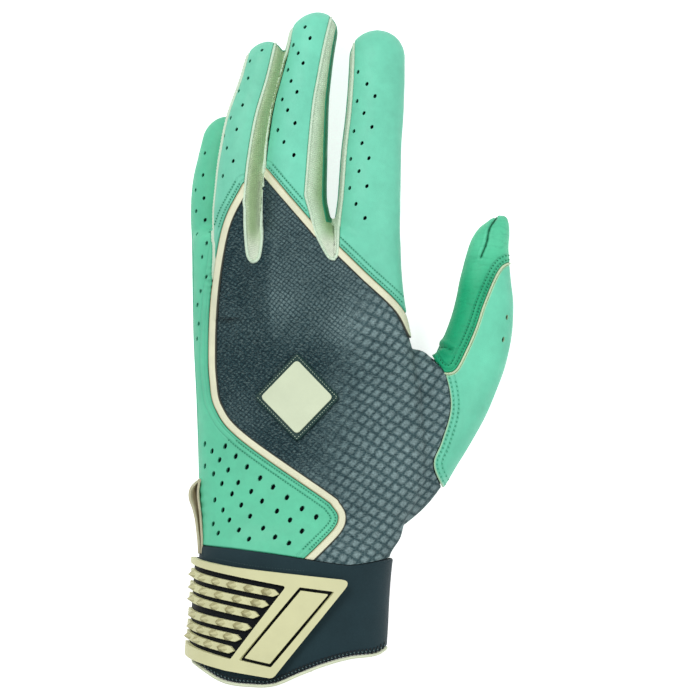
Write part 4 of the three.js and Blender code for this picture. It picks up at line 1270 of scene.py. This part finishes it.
class Finish:
    """A material: its nodes, its shader and places on the object."""

    def __init__(self, name, roughness, specular, sheen=0.0):
        self.material = bpy.data.materials.new(name)
        self.material.use_nodes = True
        self.tree = self.material.node_tree
        self.shader = self.tree.nodes["Principled BSDF"].inputs
        self.give(self.shader, {"Roughness": roughness, "Specular IOR Level": specular,
                                "Sheen Weight": sheen, "Sheen Roughness": 0.4})
        self.place = self.node("TexCoord", out="Object")
        self.relief = {}

    def give(self, sockets, values):
        for key, value in values.items():
            if isinstance(value, Value):
                self.tree.links.new(value.socket, sockets[key])
            elif isinstance(value, tuple):
                sockets[key].default_value = value[:len(sockets[key].default_value)]
            else:
                sockets[key].default_value = value

    def node(self, kind, inputs=None, out=0, **settings):
        new = self.tree.nodes.new(f"ShaderNode{kind}")
        for key, value in settings.items():
            setattr(new, key, value)
        self.give(new.inputs, inputs or {})
        return Value(self, new.outputs[out])

    def vector(self, operation, a, b, key=1, out=0):
        return self.node("VectorMath", {0: a, key: b}, out, operation=operation)

    def noise(self, scale, detail=3.0, rough=0.55, warp=0.0, place=None, out="Fac"):
        return self.node("TexNoise", {"Vector": place or self.place, "Scale": scale,
                                      "Detail": detail, "Roughness": rough,
                                      "Distortion": warp}, out)

    def stretched(self, turn, *scale):
        """Places on the object, turned about z and drawn out."""
        return self.node("Mapping", {"Vector": self.place, "Rotation": (0, 0, turn),
                                     "Scale": scale})

    def parts(self):
        return [self.node("SeparateXYZ", {0: self.place}, k) for k in range(3)]

    def mark(self, name):
        """A distance in millimetres that the piece's points or faces hold."""
        return self.node("Attribute", out="Fac", attribute_name=name)

    def near(self, name, width):
        """1 where a mark is nought, and 0 from a width on."""
        return self.mark(name).step(0.0, width, 1.0, 0.0)

    def blend(self, share, a, b):
        """One colour laid over another; colours are screen values or come from nodes."""
        a, b = (value if isinstance(value, Value) else colour(*value) for value in (a, b))
        return self.node("Mix", {0: share, 6: a, 7: b}, 2, data_type="RGBA")

    def uneven(self, base, size, change):
        """Patches of a colour a little lighter and darker."""
        base = base if isinstance(base, Value) else colour(*base)
        part = (self.noise(1 / size, 4.0, 0.6) - 0.5) * change
        return self.vector("SCALE", base, part * 4.0 + 1.0, "Scale")

    def furrows(self, rows, half):
        """1 in the furrows that rows of stitches pull into the leather."""
        away = [(self.mark("seam") - row).by("ABSOLUTE").step(0.0, half, 1.0, 0.0)
                for row in rows]
        return away[0].by("MAXIMUM", away[1])

    def grain(self, crease, pore=0.0006):
        """Leather grain: fine pores between soft creases."""
        pores = self.node("TexVoronoi", {"Vector": self.place, "Scale": 1 / pore}, "Distance",
                          feature="DISTANCE_TO_EDGE")
        return pores.step(0.0, 0.25) * 0.35 + self.noise(1 / crease, 5.0, 0.62, 0.6) * 0.9

    def loops(self, pitch):
        """Fine knit: small slanted loops in columns."""
        x, y, z = self.parts()
        x, y = x / pitch, (y - z) / pitch
        loop = (y + x.there_and_back(0.5) * 1.6).there_and_back(0.5)
        column = (x + 0.25).there_and_back(0.25)
        return loop.step(0.05, 0.4) * column.step(0.0, 0.12, 0.4, 1.0)

    def bump(self, height, depth, strength=1.0):
        """Relief over what the finish has so far."""
        normal = self.node("Bump", {"Height": height, "Distance": depth, "Strength": strength,
                                    **self.relief})
        self.relief = {"Normal": normal}
        self.give(self.shader, self.relief)

    def ready(self, base, **shader):
        self.give(self.shader, {"Base Color": base, **shader})
        return self.material


# Painted shade: a darker mint laid along leather seams and in the furrows under stitches.
SEAM_SHADE_MINT = (58, 160, 126)
# Painted shade for the creases, edges and stitch furrows of the thumb's inner leather.
CREASE_SHADE_GREEN = (10, 118, 80)


def leather(name, base, rows=(1.0, 2.7), raw_edge_and_seam_shade=SEAM_SHADE_MINT, rim=0.55):
    """Soft dyed goatskin: uneven dye, fine grain and furrows under stitches, with painted shade
    darkening the seam edges and the furrows; a given pale raw edge colour takes the place of the
    edge shade.
    """
    t = Finish(name, 0.5, 0.3)
    dye_and_shade = t.uneven(t.uneven(base, 0.02, 0.1), 0.0032, 0.05)
    # Painted seam shade at the panel's edges, unless a pale raw edge colour is given.
    dye_and_shade = t.blend(t.near("edge", rim) * 0.7, dye_and_shade, raw_edge_and_seam_shade)
    furrow = t.furrows(rows, 0.55)
    t.bump(furrow * -1.0, 0.00018)
    t.bump(t.grain(0.0035), 0.00007, 0.8)
    # Painted shade in the stitch furrows.
    return t.ready(t.blend(furrow * 0.16, dye_and_shade, SEAM_SHADE_MINT),
                   Roughness=t.noise(160.0).step(0.3, 0.7, 0.44, 0.58))


def creased_leather(name, base, pale):
    """The thumb's inner leather, paler where it is turned at the tip, with painted shade in its
    creases, its seam and fold grooves, at its edges and in its stitch furrows.
    """
    t = Finish(name, 0.5, 0.3)
    dye_and_shade = t.uneven(t.blend(t.mark("down").step(38.0, 58.0), base, pale), 0.012, 0.13)
    crease = t.noise(1.0, 3.0, 0.6, 0.8, t.stretched(0.2, 170, 900, 400))
    # Painted shade: darker in the creases, in the grooves of the tip seam and the fold, and at the
    # edges.
    dye_and_shade = t.blend(crease.step(0.55, 0.25, 0.0, 0.22), dye_and_shade, CREASE_SHADE_GREEN)
    dye_and_shade = t.blend(t.near("groove", 0.5) * 0.9, dye_and_shade, (8, 70, 48))
    dye_and_shade = t.blend(t.near("edge", 0.6) * 0.6, dye_and_shade, CREASE_SHADE_GREEN)
    furrow = t.furrows((1.2, 2.9), 0.6)
    t.bump(furrow * -1.0, 0.0002)
    t.bump(crease, 0.00016, 0.9)
    t.bump(t.grain(0.003), 0.00007, 0.8)
    return t.ready(t.blend(furrow * 0.2, dye_and_shade, CREASE_SHADE_GREEN))


def back_knit(name):
    """Two-tone stretch knit: raised squares in a slanted lattice, with a fuzzy face, and painted
    light: lighter to the right and toward the wrist, and right of the ridge down from the ring
    finger.
    """
    t = Finish(name, 0.85, 0.08, 0.12)
    drift = t.vector("SUBTRACT", t.noise(28.0, 1.0, 0.5, out="Color"), (0.5, 0.5, 0.5))
    jitter = t.noise(2200.0, 2.0, 0.5, out="Color")
    bent = t.vector("ADD", t.place, t.vector("SCALE", drift, 0.006, "Scale"))
    bent = t.vector("ADD", bent, t.vector("SCALE", jitter, 0.0005, "Scale"))

    def squares(ways, low, high):
        a, b = ((t.vector("DOT_PRODUCT", bent, way, out="Value").there_and_back(0.5) * 2.0)
                .step(low, high) for way in ways)
        return a * b

    x, y, _ = t.parts()
    fall = x - y * 0.25
    spread = fall.step(0.002, 0.022)
    square = (squares([(256.0, -216.0, 0.0), (140.0, 241.0, 0.0)], 0.02, 0.66) * spread
              + squares([(600.0, -503.0, 0.0), (430.0, 588.0, 0.0)], 0.0, 0.55)
              * (spread * -1.0 + 1.0))
    # Painted light: lighter to the right and toward the wrist, and right of the ridge down from
    # the ring finger; it mixes shaded and lit copies of the knit's colours.
    ridge = x.step(-0.0135, -0.009) * y.step(0.012, 0.03)
    light = ((fall.step(-0.004, 0.036, 0.04, 0.95) + ridge * 0.32)
             .by("ADD", t.noise(45.0, 2.0) - 0.5, use_clamp=True))
    base = t.blend(square * light.step(0.0, 0.8, 0.6, 1.0),
                   t.blend(light, (27, 47, 53), (60, 84, 88)),
                   t.blend(light, (52, 78, 82), (124, 146, 148)))
    fuzz = t.noise(1.0, 3.0, 0.7, place=t.stretched(-0.85, 900, 2400, 1500))
    base = t.blend(fuzz.step(0.5, 0.66, 0.0, 0.36), t.uneven(base, 0.0007, 0.45),
                   (136, 158, 156))
    t.bump(square, 0.00022, 0.8)
    t.bump(fuzz, 0.0001, 0.7)
    return t.ready(t.blend(fuzz.step(0.48, 0.34, 0.0, 0.4), base, (24, 38, 44)))


def gusset_knit(name, near, far, reach):
    """Fine stretch knit, paler as painted light toward the seam that faces the light, and paler at
    the web.
    """
    t = Finish(name, 0.8, 0.12, 0.15)
    height = t.loops(0.00075)
    # Painted light: paler toward the seam that faces the light, darker toward the other.
    base = t.blend(t.mark("across").step(0.5, reach), near, far)
    base = t.blend(t.mark("down").step(62.0, 53.0), base, (240, 252, 230))
    base = t.uneven(t.uneven(base, 0.004, 0.12), 0.0005, 0.12)
    t.bump(height, 0.00018, 0.9)
    return t.ready(t.blend(height.step(0.5, 0.0, 0.0, 0.35), base, (124, 156, 116)))


def binding(name, base, shadow_side=None, tan_side=None):
    """Smooth folded binding with a fine weave; where side colours are given, a painted shadow runs
    along the side toward the knit and a tan band along the other side.
    """
    t = Finish(name, 0.55, 0.25)
    base = t.uneven(base, 0.006, 0.07)
    if shadow_side:
        across = t.mark("across")
        base = t.blend(across.step(-0.85, -1.25, 0.0, 0.75), base, tan_side)
        # Painted shadow along the side toward the knit.
        base = t.blend(across.step(0.95, 1.2, 0.0, 0.95), base, shadow_side)
    t.bump(t.loops(0.0004), 0.00005, 0.6)
    return t.ready(base)


def jersey(name, base):
    """Close, smooth jersey with a faint bloom and small pulls."""
    t = Finish(name, 0.62, 0.12, 0.08)
    t.bump(t.noise(90.0, 2.0), 0.0005, 0.5)
    t.bump(t.loops(0.00045), 0.00006, 0.6)
    return t.ready(t.uneven(t.uneven(base, 0.018, 0.14), 0.0006, 0.1))


def rubber(name, base, top, dusted):
    """Moulded satin rubber with a fine matt texture, darker on the studs as painted shade, most on
    the facets that face left.
    """
    t = Finish(name, 0.46, 0.35)
    base = t.blend(t.mark("top").step(0.0, 1.2), t.uneven(base, 0.012, 0.06), top)
    dust = t.noise(420.0, 4.0, 0.7)
    t.bump(t.noise(5200.0, 2.0), 0.00003, 0.7)
    return t.ready(t.blend(dust.step(0.58, 0.8, 0.0, 0.25), base, dusted),
                   Roughness=dust.step(0.3, 0.7, 0.4, 0.55))


def tape(name, base, deep, pitch):
    """Woven tape or pile: small raised loops over a deeper ground."""
    t = Finish(name, 0.75, 0.15, 0.1)
    height = t.loops(pitch)
    t.bump(height, 0.0003, 0.9)
    return t.ready(t.blend(height.step(0.6, 0.0, 0.0, 0.7), t.uneven(base, 0.004, 0.12), deep))


def thread(name, base):
    """Twisted sewing thread."""
    t = Finish(name, 0.5, 0.3)
    t.bump(t.noise(6000.0), 0.00003)
    return t.ready(t.uneven(base, 0.0015, 0.15))


def dress(look, slot, *pieces, body="glove"):
    """Gives pieces a finish; each is named with the nodes that it stands for."""
    for words in pieces:
        name, *nodes = words.split()
        piece = bpy.data.objects[name]
        piece.data.materials.clear()
        piece.data.materials.append(look)
        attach(piece, body)
        if nodes:
            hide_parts(*nodes)


for name, base in (("index", (116, 212, 181)), ("middle", (117, 213, 183)),
                   ("ring", (118, 207, 177)), ("pinky", (98, 201, 162))):
    dress(leather(f"{name}_leather", base), "back_leather", f"{name}_back {name}_back_leather")
dress(leather("thumb_leather", (110, 210, 176), (1.2, 3.0), (206, 226, 186), 0.75),
      "back_leather", "thumb_outer thumb_back_leather")
dress(creased_leather("thumb_inner_leather", (30, 172, 121), (92, 208, 163)),
      "thumb_inner_leather", "thumb_inner thumb_inner_leather")
dress(leather("palm_leather", (104, 200, 165)), "palm_leather",
      " ".join(["palm", "palm_leather", *(f"{name}_front_leather" for name in ORDER)]),
      "thumb_front thumb_front_leather")
# Palm leather darkened as painted shade, for the side of the middle finger.
dress(leather("shaded_side_leather", (22, 112, 72)), "palm_leather", "shaded_middle_side")
dress(back_knit("back_knit"), "back_knit", "knit_panel back_knit_panel")
dress(jersey("cuff_jersey", (33, 54, 60)), "cuff_fabric", "cuff cuff_band",
      "strap_end strap_anchor")
dress(jersey("lining_jersey", (30, 46, 52)), "cuff_lining", "lining cuff_lining")
# The cuff's jersey darkened as painted shade, for the backing seen through the strap's window.
dress(jersey("shaded_strap_jersey", (13, 18, 23)), "cuff_fabric", "strap_back strap_backing",
      body="strap_flap")
dress(binding("trim_binding", (231, 232, 202), (18, 24, 24), (178, 168, 128)), "trim_binding",
      *(f"{name}_binding {name}" for name in TRIM_SEAMS))
dress(binding("piping_binding", (206, 226, 190)), "piping", "piping thumb_piping")
dress(binding("hem_binding", (222, 230, 200)), "piping", "hem cuff_hem_binding")
dress(binding("seam_bead", (214, 236, 212)), "gusset_knit",
      *(f"{name}_bead {name if name in BEAD_ONLY else ''}" for name in GUSSETS))
# A darker copy of the gusset knit, as painted shade for the gusset that lies deepest.
dress(gusset_knit("shaded_gusset_knit", (206, 228, 190), (168, 200, 148), 2.6), "gusset_knit",
      f"{DEEP_GUSSET}_strip {DEEP_GUSSET}")
dress(gusset_knit("gusset_knit", (226, 250, 222), (154, 192, 136), 6.0), "gusset_knit",
      *(f"{name}_strip {name}" for name in GUSSETS if name not in (*BEAD_ONLY, DEEP_GUSSET)))
dress(rubber("strap_rubber", (214, 214, 168), (158, 152, 108), (222, 226, 196)),
      "strap_rubber", "strap_front strap_plate", "strap_blank strap_label_panel",
      *(f"rib_{i} strap_rib_{i}" for i in range(1, len(RIBS) + 1)), body="strap_flap")
dress(rubber("badge_base_rubber", (4, 50, 46), (4, 50, 46), (30, 84, 78)), "badge_base",
      "badge_rim badge_base")
dress(rubber("badge_face_rubber", (209, 220, 190), (209, 220, 190), (226, 234, 212)),
      "badge_face", "badge_plate badge_face")
dress(tape("tab_tape", (232, 226, 196), (196, 184, 146), 0.0008), "tab_webbing",
      "tab pull_tab")
pile = tape("hook_tape_pile", (34, 46, 52), (14, 18, 22), 0.0011)
dress(pile, "loop_pile", "loop_pile loop_patch")
dress(pile, "hook_tape", "hook_tape hook_patch", body="strap_flap")
for dye, base, slot, rows in (
        ("mint", (40, 138, 106), "back_leather", "trim"),
        ("soft", (64, 166, 130), "back_leather", "thumb"),
        ("deep", (4, 104, 72), "thumb_inner_leather", "tip"),
        ("green", (12, 122, 86), "thumb_inner_leather", "piping"),
        ("dark", (16, 28, 31), "cuff_fabric", "hem"),
        ("grey", (62, 84, 88), "cuff_fabric", "cuff"),
        ("pale", (196, 214, 190), "badge_base", "badge")):
    dress(thread(f"{dye}_thread", base), slot, f"{rows}_stitches")
dress(thread("tick_thread", (96, 120, 122)), "cuff_fabric", "hem_ticks")


# ---- Floor, light and background

bpy.ops.object.select_all(action="DESELECT")
bpy.ops.mesh.primitive_plane_add(size=3, location=(0, 0, -0.1 * MM))
floor = made("floor")
ground = Finish("floor", 0.9, 0.1)
camera_ray, glossy_ray = (ground.node("LightPath", out=f"Is {kind} Ray")
                          for kind in ("Camera", "Glossy"))
glow = {"Emission Color": (1, 1, 1, 1),
        "Emission Strength": camera_ray.by("MAXIMUM", glossy_ray) * 0.75}
floor.data.materials.append(ground.ready((0.86, 0.86, 0.86, 1), **glow))

world = bpy.data.worlds.new("studio")
world.use_nodes = True
bpy.context.scene.world = world
background = world.node_tree.nodes["Background"].inputs
background["Color"].default_value = (1, 1, 1, 1)
background["Strength"].default_value = 0.5


def lamp(name, place, size, power):
    data = bpy.data.lights.new(name, "AREA")
    data.shape = "DISK"
    data.size = size
    data.energy = power
    new = bpy.data.objects.new(name, data)
    new.location = place
    new.rotation_euler = (-Vector(place)).to_track_quat("-Z", "Y").to_euler()
    bpy.context.scene.collection.objects.link(new)


lamp("key", (-0.5, 0.7, 1.1), 0.5, 8.5)
lamp("fill", (0.8, -0.3, 0.9), 0.8, 4.5)

bpy.context.scene.view_settings.view_transform = "Standard"
